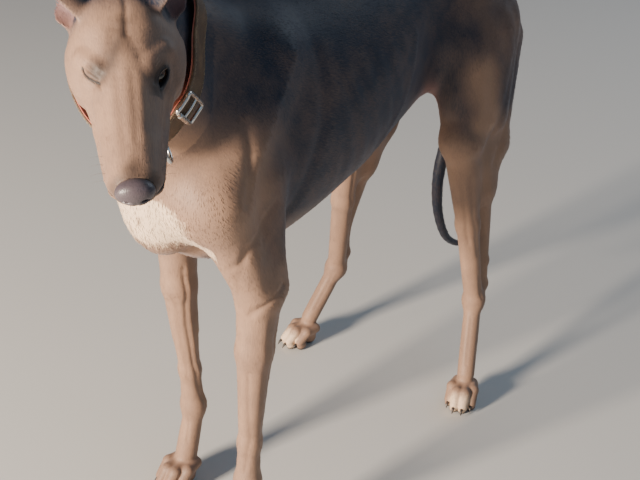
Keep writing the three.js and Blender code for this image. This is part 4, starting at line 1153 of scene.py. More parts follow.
def relief(points, normals):
    """How far each point of the skin is raised along its normal."""
    rise = np.zeros(len(points))
    q = HEAD.into(points)
    part = np.flatnonzero((q[:, 1] > -100) & (length(q) < 170))
    p, n, q, r = points[part], normals[part], q[part], np.zeros(len(part))
    reach = smooth(q[:, 1], -95, -75)
    for line in HEAD_LINES:
        press(r, p, n, HEAD, line, reach)
    for s in (1, -1):
        half = reach * smooth(q[:, 0] * s, -3, 3)
        for flat, side, path, width, height in PAIRED_HEAD_LINES:
            turned = [(a * s, b) if flat == 2 else (a, b) for a, b in path]
            press(r, p, n, HEAD, (flat, side * (s if flat == 0 else 1), turned, width, height), half)
        press(r, p, n, HEAD, (0, s, MOUTH, 1.9, -2.2), half)
    press(r, p, n, HEAD, (1, 1, MOUTH_TIP, 1.8, -1.9), reach)
    for s, axes, folds in ((1, LIDS[1], OPEN_FOLDS), (-1, SHUT_LIDS, CLOSED_FOLDS)):
        near = smooth(-length(p - eye_place(s)), -30, -23)
        for path, width, height in folds:
            press(r, p, n, axes, (1, 1, path, width, height), near)
    bumps = np.sin(q[:, 1] * 0.9) * np.sin((q[:, 2] + 0.35 * q[:, 1]) * 1.1)
    pad = bell(q[:, 1] - 92, 16) * bell(q[:, 2] + 14, 7) * smooth(np.abs(q[:, 0]), 8, 14)
    r += 0.45 * smooth(bumps, 0.55, 0.95) * pad
    rise[part] += r
    for s, name in ((1, "left"), (-1, "right")):
        leg, first = LEGS[name], LEGS["left"]
        half = smooth(points[:, 0] * s, 10, 24) * smooth(points[:, 2], 90, 130)
        front = half * smooth(-points[:, 1], -180, -150)
        rear = half * smooth(points[:, 1], 360, 400)
        for lines, reach, moved in (
                (SHOULDER_LINES, front, leg["shoulder"][1] - first["shoulder"][1]),
                (HAUNCH_LINES, rear, (leg["stifle"][1] - first["stifle"][1]) * 0.6), (FLANK_LINES, half, 0)):
            for path, width, height in lines:
                path = [(y + moved, z) for y, z in path]
                press(rise, points, normals, WORLD, (0, s, path, width, height), reach)
        x, y, z = points.T
        cage = half * smooth(y, 140, 175) * (1 - smooth(y, 300, 340))
        cage = cage * smooth(z, 440, 490) * (1 - smooth(z, 590, 640))
        rise += RIB_HEIGHT * np.cos(2 * np.pi * (y + 0.42 * (z - 550)) / RIB_GAP) * cage
        for top, bottom, lines in LIMBS:
            press_limb(rise, points, normals, leg, top, bottom, lines)
        for spot in (leg["carpus"] + vec(0, 0, 14), leg["hock"] + vec(s * 14, 0, 4)):
            rise += 0.9 * bell(length(points - spot), 15) * smooth(normals[:, 0] * s, 0, 0.5)
    x, y, z = points.T
    back = smooth(normals[:, 2], 0.5, 0.9) * smooth(y, 260, 330)
    back = back * (1 - smooth(y, 560, 600)) * smooth(z, 600, 640)
    rise += back * bell(x, 10) * (-1.2 + 0.9 * np.cos(2 * np.pi * y / VERTEBRA_GAP))
    return rise


# Markings of the coat and painted light and shade, the same for skin and tufts: cream, dark skin with painted
# shade, bare skin, and warmth of the colour, which is partly painted light and shade

CREAM_SPOTS = [(8, 497, 3.5), (25, 462, 5), (12, 467, 3.5), (-9, 482, 3)]


# Painted shade on the head, in the forehead's furrow, in the hollow between the brows and by the left eye:
# path in (left, forward), width, strength
HEAD_PAINTED_SHADE = [
    ([(5, -80), (6, -48), (5, -24)], 2.6, 0.3),
    ([(3, -34), (0, -20), (-6, -8), (-12, 3), (-19, 10)], 8.5, 0.72),
    ([(22, 8), (24, 17)], 6, 0.5),
]


def wobble(points, size):
    """Smooth uneven values from about -1 to 1."""
    p = points / size
    out = np.zeros(len(points))
    for k, (a, b, c) in enumerate(((1.7, 0.6, -0.8), (-0.5, 1.9, 0.7), (0.9, -0.7, 1.8), (2.9, 2.1, 1.3))):
        out += np.sin(p @ vec(a, b, c) + 1.9 * k + np.sin(p @ vec(c, a, b) * 1.3 + k))
    return out / 3


EARS = {s: ear_grid(s) for s in (1, -1)}


def ear_inside(points, normals):
    """1 on the hollow side of an ear, 0 elsewhere."""
    out = np.zeros(len(points))
    for grid in EARS.values():
        middle = grid.reshape(-1, 3).mean(0)
        near = np.flatnonzero(length(points - middle) < 75)
        if not len(near):
            continue
        tree = KDTree(grid.size // 3)
        for i, g in enumerate(grid.reshape(-1, 3).tolist()):
            tree.insert(g, i)
        tree.balance()
        found = [tree.find(q) for q in points[near].tolist()]
        index = np.array([f[1] for f in found])
        off = np.array([f[2] for f in found])
        centre = np.repeat(grid[:, EAR_COLUMNS // 2][:, None], EAR_COLUMNS, 1).reshape(-1, 3)
        ends = (grid[:, :1] + grid[:, -1:]) / 2
        hollow = np.repeat(ends - grid[:, EAR_COLUMNS // 2][:, None], EAR_COLUMNS, 1).reshape(-1, 3)
        hollow = hollow[index] / np.maximum(length(hollow[index]), 1e-6)[:, None]
        to = centre[index] + hollow * 9 - points[near]
        to /= np.maximum(length(to), 1e-6)[:, None]
        inner = smooth(np.einsum("ij,ij->i", normals[near], to), 0.05, 0.4)
        out[near] = np.maximum(out[near], inner * (1 - smooth(off, 3.0, 7.0)))
    return out


def marks(points, normals):
    x, y, z = points.T
    rough = wobble(points, 5) * 0.6 + wobble(points, 2) * 0.4
    oval = np.hypot((x - 10) / 52, (z - 497) / 35)
    point = off_line(points[:, [0, 2]], [(34, 488), (68, 460)]) / 10
    patch = np.minimum(oval, point) + 0.17 * rough
    cream = (1 - smooth(patch, 0.86, 1.08)) * smooth(-y, 10, 40) * smooth(-normals[:, 1], 0.05, 0.3)
    for sx, sz, r in CREAM_SPOTS:
        cream *= 1 - 0.75 * bell(np.hypot(x - sx, z - sz), r)
    for leg in LEGS.values():
        ahead = unit(leg["hind"])
        run = (points - leg["ball"]) @ ahead
        side = np.abs((points - leg["ball"]) @ np.cross(ahead, vec(0, 0, 1)))
        toes = smooth(run + 4 * rough, 28, 38) * (1 - smooth(z + 3 * rough, 22, 36)) * (run < 70)
        cream = np.maximum(cream, 0.85 * toes * (1 - smooth(side, 14, 20)))
    q = HEAD.into(points)
    # Dark skin of lids, lips, nose and pads, and painted shade round the eyes and on the forehead
    dark_and_painted_shade = np.zeros(len(points))
    open_eye = LIDS[1].into(points)
    rim = np.hypot(open_eye[:, 0] / 11, open_eye[:, 2] / 7)
    dark_and_painted_shade = np.maximum(dark_and_painted_shade, (1 - smooth(rim, 0.9, 1.3)) * (np.abs(open_eye[:, 1]) < 20))
    # Painted shade round the open eye, reaching further to its inner side
    shade = np.hypot((open_eye[:, 0] + 5) / 22, (open_eye[:, 2] - 2) / 14)
    dark_and_painted_shade = np.maximum(dark_and_painted_shade, 0.75 * (1 - smooth(shade, 0.4, 1.1)) * (np.abs(open_eye[:, 1]) < 25))
    shut = SHUT_LIDS.into(points)
    line = off_line(shut[:, [0, 2]], CLOSED_EYE)
    dark_and_painted_shade = np.maximum(dark_and_painted_shade, (1 - smooth(line, 0.8, 2.3)) * (np.abs(shut[:, 1]) < 20))
    # Painted shade between the closed eye and the brow
    shade = np.hypot((shut[:, 0] + 6) / 18, (shut[:, 2] + 8) / 14)
    dark_and_painted_shade = np.maximum(dark_and_painted_shade, 0.82 * (1 - smooth(shade, 0.2, 1.1)) * (np.abs(shut[:, 1]) < 25))
    on_head = (q[:, 1] > 20) & (np.abs(q[:, 0]) < 45) & (q[:, 1] < 160)
    lip = np.minimum(off_line(q[:, 1:], MOUTH), np.where(q[:, 1] > 96, off_line(q[:, [0, 2]], MOUTH_TIP), 99))
    dark_and_painted_shade = np.maximum(dark_and_painted_shade, (1 - smooth(lip, 0.9, 3.2)) * on_head)
    dark_and_painted_shade = np.maximum(dark_and_painted_shade, 0.6 * smooth(q[:, 1], 104, 116) * smooth(q[:, 2], -20, -10) * on_head)
    # Painted shade on the forehead and by the left eye
    above = smooth(q[:, 2], -8, 4) * (q[:, 1] < 40) * (length(q) < 120)
    for path, width, amount in HEAD_PAINTED_SHADE:
        dark_and_painted_shade = np.maximum(dark_and_painted_shade, amount * bell(off_line(q[:, :2], path), width) * above)
    tip = bell(q[:, 0], 2 + 0.5 * np.clip(q[:, 1] - 92, 0, 30))
    tip = tip * smooth(q[:, 1], 90, 108) * smooth(q[:, 2], -4, 2)
    dark_and_painted_shade = np.maximum(dark_and_painted_shade, 0.75 * tip * on_head)
    dark_and_painted_shade = np.maximum(dark_and_painted_shade, 0.9 * (1 - smooth(z, 3, 8)))
    bare = 0.38 * ear_inside(points, normals)
    groin = smooth(y, 360, 420) * (1 - smooth(y, 520, 560)) * (1 - smooth(np.abs(x), 38, 70))
    naked = 0.45 * groin * (1 - smooth(z, 500, 540)) * smooth(-normals[:, 2], 0.0, 0.6) * (z > 380)
    bare = np.maximum(bare, naked)
    on_neck = length(q) < 190
    # Warmth of the coat: its own uneven tone, and painted light and shade, warm on the lit face, chest and
    # legs and slate where shade falls
    tone_and_painted_light = 0.16 + 0.06 * wobble(points, 60) + 0.05 * wobble(points, 14)
    tone_and_painted_light += 0.60 * smooth(q[:, 1], -90, -38) * on_neck
    # Painted shade: darker behind the head and on the upper neck, where the head's shadow falls
    tone_and_painted_light -= 0.15 * bell(q[:, 1] + 105, 45) * on_neck
    # Painted shade: the left side of the head darker
    tone_and_painted_light -= 0.16 * smooth(q[:, 0], 15, 26) * smooth(q[:, 1], -60, -30) * on_neck
    # Painted shade: darker round the ears, wider and deeper round the left one, on the head's shaded side
    for s, grid in EARS.items():
        reach = 24 if s > 0 else 14
        ear = 1 - smooth(off_line(points, grid[::6, EAR_COLUMNS // 2]), reach, reach + 9)
        tone_and_painted_light -= (0.5 if s > 0 else 0.3) * ear * smooth(q[:, 2], -4, 10) * (1 - smooth(q[:, 1], -52, -42))
    hind = smooth(y, 300, 360)
    legs = (1 - smooth(z - 25 * hind, 385, 460)) * smooth(np.abs(x), 24, 36)
    front = (1 - smooth(y, -35, 55)) * (1 - smooth(z, 570, 630)) * smooth(z, 300, 400)
    tone_and_painted_light += 0.64 * np.maximum(legs, front) + 0.12 * legs * front
    # Painted light: a warm pool of light on the outer side of the thigh
    thigh = off_line(points[:, 1:], [(480, 524), (486, 496), (491, 466)])
    tone_and_painted_light += 0.75 * (1 - smooth(thigh, 4, 42)) * smooth(np.abs(normals[:, 0]), 0.2, 0.7) * (y > 420)
    tone_and_painted_light += 0.30 * smooth(y, 430, 500) * smooth(z, 480, 600)
    # Painted shade: surfaces that face up are darker from the shoulders back
    tone_and_painted_light -= 0.12 * smooth(normals[:, 2], 0.2, 0.8) * smooth(y, -60, 20)
    # Painted shade: the flanks darker
    tone_and_painted_light -= 0.08 * smooth(y, 20, 120) * (1 - smooth(y, 400, 470)) * smooth(z, 430, 500)
    # Painted shade: the tail darker where it hangs behind the hind legs
    tone_and_painted_light -= 0.6 * smooth(y + 0.4 * np.minimum(500 - z, 0), 505, 540) * (z < 560) * (np.abs(x) < 18)
    tone_and_painted_light = np.clip(tone_and_painted_light, 0.02, 0.95)
    return np.stack([cream, np.clip(dark_and_painted_shade, 0, 1), bare, tone_and_painted_light], -1)


# Lie of the hair: (place, direction) on the left side, mirrored for the right

def lie_points():
    rows = []
    for f, u in ((110, 6), (60, 12), (10, 20), (-30, 34), (-65, 30)):
        rows.append((HEAD.out(0, f, u), -HEAD.forward))
    for s in (1, -1):
        for left, f, u in ((20, 90, -18), (28, 40, -22), (42, -15, -20), (46, -45, -30)):
            rows.append((HEAD.out(left * s, f, u), -HEAD.forward - 0.25 * HEAD.up))
        grid = EARS[s]
        for i in (6, 20, 34):
            here = grid[i, EAR_COLUMNS // 2]
            tipward = grid[min(i + 4, EAR_STEPS - 1), EAR_COLUMNS // 2]
            rows.append((here, unit(tipward - grid[i - 4, EAR_COLUMNS // 2])))
        rows += [
            (COLLAR.out(58 * s, 20, 0), -COLLAR.forward), (COLLAR.out(60 * s, -25, 0), -COLLAR.forward),
            (vec(56 * s, -60, 620), vec(0, 0.45, -0.9)), (vec(40 * s, -96, 560), vec(0.1 * s, 0.1, -1)),
            (vec(80 * s, -10, 600), vec(0, 0.5, -0.86)), (vec(60 * s, 60, 690), vec(0, 0.9, -0.4)),
            (vec(96 * s, 150, 620), vec(0, 0.9, -0.42)), (vec(96 * s, 150, 500), vec(0, 0.95, -0.3)),
            (vec(92 * s, 260, 600), vec(0, 0.92, -0.38)), (vec(90 * s, 260, 500), vec(0, 0.96, -0.25)),
            (vec(72 * s, 400, 600), vec(0, 0.85, -0.5)), (vec(64 * s, 400, 510), vec(0, 0.8, -0.6)),
            (vec(100 * s, -10, 500), vec(0, 0.35, -0.93)), (vec(104 * s, 20, 430), vec(0, 0.2, -0.98)),
            (vec(110 * s, 480, 560), vec(0, 0.4, -0.9)), (vec(112 * s, 500, 480), vec(0, 0.3, -0.95)),
            (vec(80 * s, 590, 540), vec(-0.2 * s, 0.2, -0.97)), (vec(100 * s, 460, 430), vec(0, 0.15, -0.98)),
            (vec(40 * s, 560, 650), vec(0.2 * s, 0.8, -0.5)), (vec(20 * s, 200, 395), vec(0, 1, 0)),
            (vec(20 * s, 330, 440), vec(0, 0.95, 0.2)), (vec(8 * s, -110, 500), vec(0, 0.15, -1)),
        ]
    for leg in LEGS.values():
        for key, way in (("elbow", (0, 0.1, -1)), ("carpus", (0, 0, -1)), ("knuckle", None),
                         ("hock", (0, 0, -1)),
                         ("ball", None)):
            here = leg[key]
            if way is None:
                way = vec(0, 0, -0.7) + leg["fore" if key == "knuckle" else "hind"]
            rows.append((here, vec(*way)))
        rows.append((mix(leg["elbow"], leg["carpus"], 0.5), vec(0, 0.05, -1)))
        rows.append((mix(leg["stifle"], leg["hock"], 0.5), leg["hock"] - leg["stifle"]))
        rows.append((mix(leg["hock"], leg["ball"], 0.5), leg["ball"] - leg["hock"]))
    for a, b in ((0, (0, 1, 0.05)), (1, (0, 1, 0))):
        rows.append((vec(0, 90 + 200 * a, 700), vec(*b)))
    rows.append((vec(0, 480, 700), vec(0, 1, -0.1)))
    for a, b in zip(TAIL, TAIL[1:]):
        rows.append((mix(vec(*a[:3]), vec(*b[:3]), 0.5), vec(*b[:3]) - vec(*a[:3])))
    return np.array([r[0] for r in rows]), np.array([unit(vec(*r[1])) for r in rows])


LIE_PLACES, LIE_WAYS = lie_points()
LIE_BATCH = 20000


def lie(points, normals):
    """Direction of the hair at points of the skin."""
    out = np.empty_like(points)
    for i in range(0, len(points), LIE_BATCH):
        p, n = points[i:i + LIE_BATCH], normals[i:i + LIE_BATCH]
        gap = ((p[:, None] - LIE_PLACES) ** 2).sum(-1)
        way = (1 / (gap + 150) ** 1.6) @ LIE_WAYS
        way -= n * np.einsum("ij,ij->i", way, n)[:, None]
        out[i:i + LIE_BATCH] = way / np.maximum(length(way), 1e-9)[:, None]
    return out


STREAKS = np.array([unit(vec(0, 0.93, -0.36)), unit(vec(0, 0.5, -0.86)), vec(0, 0, -1), -HEAD.forward])


def streak_weights(way):
    near = np.clip(way @ STREAKS.T, 0, 1) ** 10 + 1e-4
    return near / near.sum(1)[:, None]


# An unwrap of the skin by parts of the body: angle round the part across, distance along it upwards

def unwrap_parts():
    parts = [
        (vec(0, -60, 545), vec(0, 620, 585), 90, 5), (vec(20, -80, 620), vec(44, -134, 730), 62, 1.6),
        (HEAD.out(0, -90, -10), HEAD.out(0, 20, -14), 46, 1.8),
        (HEAD.out(0, 20, -14), HEAD.out(0, 130, -12), 24, 1.2),
    ]
    for s in (1, -1):
        grid = EARS[s][:, EAR_COLUMNS // 2]
        parts.append((grid[4], grid[-1], 16, 0.7))
    for a, b in zip(TAIL, TAIL[1:]):
        parts.append((vec(*a[:3]), vec(*b[:3]), 14, 0.25))
    for leg in LEGS.values():
        toes = leg["knuckle"] + leg["fore"] * 50 - vec(0, 0, 34)
        parts += [(leg["shoulder"], leg["elbow"], 38, 0.9), (leg["elbow"], leg["carpus"], 20, 0.8),
                  (leg["carpus"], leg["knuckle"], 16, 0.4), (leg["knuckle"], toes, 24, 0.5)]
        toes = leg["ball"] + leg["hind"] * 46 - vec(0, 0, 34)
        parts += [(leg["hip"], leg["stifle"], 62, 1.2), (leg["stifle"], leg["hock"], 24, 0.9),
                  (leg["hock"], leg["ball"], 15, 0.4), (leg["ball"], toes, 22, 0.5)]
    return parts


UNWRAP_PARTS = unwrap_parts()


def unwrapped(points):
    """Place of each point on the unwrap, from 0 to 1 both ways."""
    total = sum(part[3] for part in UNWRAP_PARTS)
    best, uv, low = np.full(len(points), 1e9), np.zeros((len(points), 2)), 0.0
    for a, b, radius, share in UNWRAP_PARTS:
        run = b - a
        t = np.clip((points - a) @ run / (run @ run), 0, 1)
        off = points - a - t[:, None] * run
        way = unit(run)
        across = unit(np.cross(way, vec(0.2, 1, 0.3) if abs(way[1]) < 0.7 else vec(0, 0.1, 1)))
        gap = length(off) / radius
        closer = gap < best
        turn = np.arctan2(off @ np.cross(way, across), off @ across) / (2 * np.pi) + 0.5
        best[closer] = gap[closer]
        uv[closer, 0] = 0.01 + 0.98 * turn[closer]
        uv[closer, 1] = low + share / total * (0.03 + 0.94 * t[closer])
        low += share / total
    return uv


# Tufts of the coat

TUFT_PATCH = 0.0015


def hair_length(points):
    """Length of the flat hair: shortest on the face, ears and feet."""
    q = HEAD.into(points)
    face = smooth(q[:, 1], -110, -40) * (length(q) < 190)
    foot = 1 - smooth(points[:, 2], 60, 150)
    leg = 1 - smooth(points[:, 2], 260, 420)
    out = mix(7.0, 5.0, leg)
    out = mix(out, 2.8, foot)
    return mix(out, 2.6, face)


def hair_edges(points, normals, mark):
    """Where hair stands out from the form, and how long it is there."""
    x, y, z = points.T
    ny, nz = normals[:, 1], normals[:, 2]
    weight, size = np.zeros(len(points)), np.zeros(len(points))

    def add(where, strength, long):
        nonlocal weight, size
        size = np.where(where * strength > weight, long, size)
        weight = np.maximum(weight, where * strength)

    edge = np.clip(4 * mark[:, 0] * (1 - mark[:, 0]), 0, 1)
    add(edge * (z > 300), 2.2, 8.5)
    add(mark[:, 0] * (z > 300), 0.6, 7.5)
    add(edge * (z < 80), 1.2, 4)
    add(smooth(ny, 0.5, 0.85) * smooth(y, 500, 560) * smooth(z, 420, 460) * (1 - smooth(z, 600, 640)), 1.0, 8)
    tail = (y > 560) & (z < 560) & (z > 150)
    add(tail * smooth(ny - 0.3 * nz, 0.1, 0.6), 2.0, 8)
    keel = smooth(-nz, 0.7, 0.95) * (np.abs(x) < 34) * smooth(y, -60, 0)
    add(keel * (1 - smooth(y, 430, 480)) * (z > 380), 1.0, 8)
    add(smooth(ny, 0.55, 0.85) * smooth(z, 140, 200) * (1 - smooth(z, 370, 400)) * (y < 200), 1.0, 6.5)
    strap = COLLAR.into(points)
    near = bell(np.abs(strap[:, 1]) - 26, 5) * (np.hypot(strap[:, 0], strap[:, 2]) < 95)
    add(near, 0.7, 6)
    for grid in EARS.values():
        rims = np.concatenate([grid[:, 0], grid[:, -1], grid[-1]])
        close = np.flatnonzero(length(points - grid.reshape(-1, 3).mean(0)) < 80)
        if len(close):
            gap = np.sqrt(((points[close][:, None] - rims) ** 2).sum(-1).min(1))
            rim = np.zeros(len(points))
            rim[close] = 1 - smooth(gap, 1.5, 3.5)
            add(rim, 1.6, 1.7)
    between = (z < 40) * (z > 6) * smooth(-nz, -0.5, 0.3)
    add(between, 0.5, 3.0)
    return weight, size


class Coat:
    """Roots scattered over the skin, and the tufts that grow from them."""

    def __init__(self, points, faces, normals, seed):
        tris = [g if g.shape[1] == 3 else np.concatenate([g[:, [0, 1, 2]], g[:, [0, 2, 3]]]) for g in faces]
        self.points, self.normals, self.tris = points, normals, np.concatenate(tris)
        self.random = np.random.default_rng(seed)
        a, b, c = (points[self.tris[:, i]] for i in range(3))
        self.area = length(np.cross(b - a, c - a)) / 2
        self.middle = (a + b + c) / 3

    def roots(self, count, weight):
        share = self.area * weight
        share = np.cumsum(share) / share.sum()
        picked = self.tris[np.searchsorted(share, self.random.random(count))]
        a, b = self.random.random((2, count))
        over = a + b > 1
        a, b = np.where(over, 1 - a, a), np.where(over, 1 - b, b)
        w = np.stack([1 - a - b, a, b], 1)[:, :, None]
        normal = (self.normals[picked] * w).sum(1)
        return (self.points[picked] * w).sum(1), normal / length(normal)[:, None]

    def tufts(self, root, normal, long, wide, lift, closed):
        """Points, faces, unwrap places and marks of flat pointed tufts, 7 points each."""
        n = len(root)
        way = lie(root, normal)
        side = np.cross(normal, way)
        way = way + side * self.random.normal(0, 0.16, n)[:, None]
        way /= length(way)[:, None]
        side = np.cross(normal, way)
        rise = np.radians(lift * self.random.uniform(0.6, 1.4, n))[:, None]
        long = (long * self.random.uniform(0.75, 1.2, n))[:, None]
        wide = (wide * self.random.uniform(0.8, 1.2, n))[:, None]
        tip = root + (way * np.cos(rise) + normal * np.sin(rise) * 0.8) * long
        half = root + (way * np.cos(rise) + normal * np.sin(rise)) * long * 0.55
        sunk = root - normal * 0.2
        ridge = normal * wide * 0.15
        shape = [sunk + side * wide / 2, sunk + ridge, sunk - side * wide / 2,
                 half + side * wide * 0.4, half + ridge, half - side * wide * 0.4, tip]
        at = TUFT_POINTS * np.arange(n)[:, None]
        quads = [at + (0, 1, 4, 3), at + (1, 2, 5, 4)]
        tris = [at + (3, 4, 6), at + (4, 5, 6)]
        if closed:
            quads.append(at + (2, 0, 3, 5))
            tris.append(at + (5, 3, 6))
        place = unwrapped(root)
        spread = TUFT_PATCH * np.array([(-1, -1), (0, -1), (1, -1), (-1, 0.2), (0, 0.2), (1, 0.2), (0, 1)])
        mark = marks(root + way * self.random.normal(0, 1, n)[:, None] * 1.5, normal)
        mark[:, 3] += self.random.normal(0, TONE_JITTER, n)
        shape = np.stack(shape, 1).reshape(-1, 3)
        shape[:, 2] = np.maximum(shape[:, 2], FLOOR_GAP)
        round_off = TUFT_ROUNDNESS * np.array([1, 0, -1, 1, 0, -1, 0])
        shade = (normal[:, None] + side[:, None] * round_off[:, None]).reshape(-1, 3)
        place = (place[:, None] + spread).reshape(-1, 2)
        mark = np.repeat(mark, TUFT_POINTS, 0)
        faces = [np.concatenate(tris), np.concatenate(quads)]
        return shape, faces, place, mark, shade / length(shade)[:, None]


TUFT_POINTS = 7
TONE_JITTER = 0.03
TUFT_ROUNDNESS = 0.25
FLOOR_GAP = 0.4
FLAT_LIFT = 2.2
EDGE_LIFT = 8
FLAT_TUFTS = 84000
EDGE_TUFTS = 14000
FUR_PARTS = [("fur_head_and_neck", -999, -62), ("fur_shoulders", -62, 120), ("fur_back_and_flanks", 120, 430),
             ("fur_haunches", 430, 999)]


def add_uv(piece, place):
    """Unwrap of a coat piece, one place for each of its points."""
    mesh = piece.data
    layer = mesh.uv_layers.new(name="OFBake")
    index = np.empty(len(mesh.loops), np.int32)
    mesh.loops.foreach_get("vertex_index", index)
    layer.data.foreach_set("uv", place[index].astype(np.float32).ravel())


def under_strap(points):
    strap = COLLAR.into(points)
    return (np.abs(strap[:, 1]) < COLLAR_WIDTH / 2 - 2) & (np.hypot(strap[:, 0], strap[:, 2]) < 100)


def coat_pieces(points, faces, normals, material, hair_scale):
    coat = Coat(points, faces, normals, SEED)

    def plant(name, root, normal, long, wide, lift, closed):
        shape, group, place, mark, shade = coat.tufts(root, normal, long, wide, lift, closed)
        streaks = np.repeat(streak_weights(lie(root, normal)), TUFT_POINTS, 0)
        piece = new_mesh(name, shape, group, mark, streaks, shade)
        add_uv(piece, place)
        finished(piece, "coat", material)

    flat = 1 / hair_length(coat.middle) ** 1.2
    flat = flat * ~under_strap(coat.middle) * (coat.middle[:, 2] > 2)
    root, normal = coat.roots(FLAT_TUFTS, flat)
    long = hair_length(root) * hair_scale
    wide = 0.10 * long + 0.25
    for name, low, high in FUR_PARTS:
        part = (root[:, 1] >= low) & (root[:, 1] < high)
        plant(name, root[part], normal[part], long[part], wide[part], FLAT_LIFT, False)
    facing = np.cross(*(points[coat.tris[:, i]] - points[coat.tris[:, 0]] for i in (1, 2)))
    facing /= np.maximum(length(facing), 1e-12)[:, None]
    weight, _ = hair_edges(coat.middle, facing, marks(coat.middle, facing))
    root, normal = coat.roots(EDGE_TUFTS, weight * ~under_strap(coat.middle))
    _, long = hair_edges(root, normal, marks(root, normal))
    long = np.maximum(long, 3) * hair_scale
    plant("fur_edges", root, normal, long, 0.08 * long + 0.25, EDGE_LIFT, True)


# Whiskers and lashes

def feeler(start, way, long, thick, droop):
    """Thin bar that tapers to a point and bends down."""
    t = np.linspace(0, 1, 7)[:, None]
    path = vec(*start) + unit(way) * long * t + vec(0, 0, -1) * droop * long * t ** 2
    return round_bar(path, thick * (1 - 0.85 * t[:, 0]), 5)


def on_skin(start, way):
    """Point where a line from inside leaves the skin."""
    low, high = 0.0, 60.0
    for _ in range(18):
        middle = (low + high) / 2
        if body_skin((start + way * middle)[None])[0] < 0:
            low = middle
        else:
            high = middle
    return start + way * low


def whiskers(scale):
    random = np.random.default_rng(SEED + 1)
    parts = []
    for s in (1, -1):
        for row, up in enumerate((-8, -13)):
            for i in range(3):
                f = 80 + 9 * i + 4 * row
                root = on_skin(HEAD.out(0, f, up), HEAD.left * s)
                way = HEAD.left * s * 0.7 - HEAD.forward * 0.35 - HEAD.up * (0.25 + 0.15 * row)
                way = way + random.normal(0, 0.08, 3)
                parts.append(feeler(root, way, scale * (13 + 1.5 * i), 0.12, 0.2))
        for f in (4, -1):
            root = on_skin(HEAD.out(20 * s, f, -5), unit(HEAD.up + 0.4 * HEAD.left * s))
            way = HEAD.up * 0.6 + 0.5 * HEAD.left * s - 0.5 * HEAD.forward
            parts.append(feeler(root, way, scale * 9, 0.11, 0.2))
        axes = LIDS[s]
        for i in range(11):
            x = -7.5 + 1.5 * i
            if s > 0:
                height = 4.9 * max(1 - (x / 10) ** 2, 0) ** 0.6
                root = axes.out(x, EYE_RADIUS + 1.2, height + 0.9)
            else:
                root = on_skin(SHUT_LIDS.out(x, 0, 1.4), SHUT_LIDS.forward)
            way = axes.forward + axes.up * 0.5 + axes.left * x * 0.03
            parts.append(feeler(root, way, 3.6, 0.13, -0.1 if s > 0 else 0.3))
    return merged(parts)


# Strap, its stitches, buckle and ring

BUCKLE_AT = -45
BUCKLE_SPAN = 16
WIRE = 2.2
FRAME_SPARE = 4
FRAME_HALF = [(-1, -1), (-0.5, -1), (0.5, -1), (1, -1), (1.15, -0.6), (1.15, 0.6)]
RING_AT = -75
RING_RADIUS = 13
RING_WIRE = 2
LOOP_HALF = 9
STITCH_ROW = 18.2
STITCH_COUNT = 96


def strap_stitches():
    parts = []
    for row in (-STITCH_ROW, STITCH_ROW):
        for i in range(STITCH_COUNT):
            a = (i + np.linspace(0.16, 0.84, 5)) * 360 / STITCH_COUNT
            lift = COLLAR_THICK - 0.25 + 0.55 * np.sin(np.linspace(0, np.pi, 5))
            parts.append(round_bar(on_strap(a, row, lift), 0.5, 6))
    return merged(parts)


def rounded(points, steps):
    """Closed smooth path through points."""
    points = np.asarray(points, float)
    out = []
    n = len(points)
    for i in range(n):
        a, b, c, d = (points[(i + k) % n] for k in (-1, 0, 1, 2))
        for t in np.arange(steps) / steps:
            out.append(0.5 * (2 * b + (c - a) * t + (2 * a - 5 * b + 4 * c - d) * t ** 2
                              + (3 * b - 3 * c + d - a) * t ** 3))
    return np.array(out)


def on_buckle(a, w):
    lift = COLLAR_THICK + WIRE + 0.9
    return on_strap(BUCKLE_AT + a * BUCKLE_SPAN / 2, w * (COLLAR_WIDTH / 2 + FRAME_SPARE), lift)[0]


def buckle():
    ring = FRAME_HALF + [(-a, -w) for a, w in FRAME_HALF]
    frame_wire = round_bar(rounded([on_buckle(a, w) for a, w in ring], 6), WIRE, 16, closed=True)
    tongue = np.array([on_buckle(a, 0) for a in np.linspace(-1.15, 1.15, 14)])
    roller = np.array([on_buckle(-1.13, w) for w in np.linspace(-0.62, 0.62, 14)])
    return merged([frame_wire, round_bar(tongue, np.linspace(2.0, 1.5, 14), 14), round_bar(roller, 2.9, 18)])


def ring_axes():
    way = unit(on_strap(RING_AT + 4, 0, 0)[0] - on_strap(RING_AT - 4, 0, 0)[0])
    up = unit(on_strap(RING_AT, 0, 10)[0] - on_strap(RING_AT, 0, 0)[0])
    middle = on_strap(RING_AT, 0, COLLAR_THICK + RING_RADIUS * 0.9)[0]
    return Axes(middle, np.cross(way, up), way, up)


def tag_ring():
    axes = ring_axes()
    g = np.linspace(0, 2 * np.pi, 72, endpoint=False)
    path = axes.outs(np.stack([np.cos(g), 0 * g, np.sin(g)], -1) * RING_RADIUS)
    return round_bar(path, RING_WIRE, 16, closed=True, up=axes.forward)


def ring_loop():
    axes = ring_axes()
    a = np.linspace(-1, 1, 15)
    path = axes.outs(np.stack([0 * a, LOOP_HALF * a, -RING_RADIUS + 0 * a], -1))
    return round_bar(path, 2 + 2.6 * np.clip(1.9 * (1 - np.abs(a)), 0, 1) ** 0.7, 16, up=axes.up)


def rounded_section(half, low, high, soft, crown=0.0):
    """Section of a flat band: rounded corners, the outer face a little crowned."""
    out = []
    for cx, cz, start in ((half, high, 0), (-half, high, 90), (-half, low, 180), (half, low, 270)):
        for k in range(4):
            g = math.radians(start + 30 * k)
            x = cx - math.copysign(soft, cx) + soft * math.cos(g)
            z = cz - math.copysign(soft, cz - (low + high) / 2) + soft * math.sin(g)
            out.append((x, z + (crown * (1 - (x / half) ** 2) if cz == high else 0)))
    top = [(half * k, high + crown * (1 - k * k)) for k in (0.75, 0.4, 0, -0.4, -0.75)]
    return (out[:4] + top + out[4:])[::-1]


# Materials

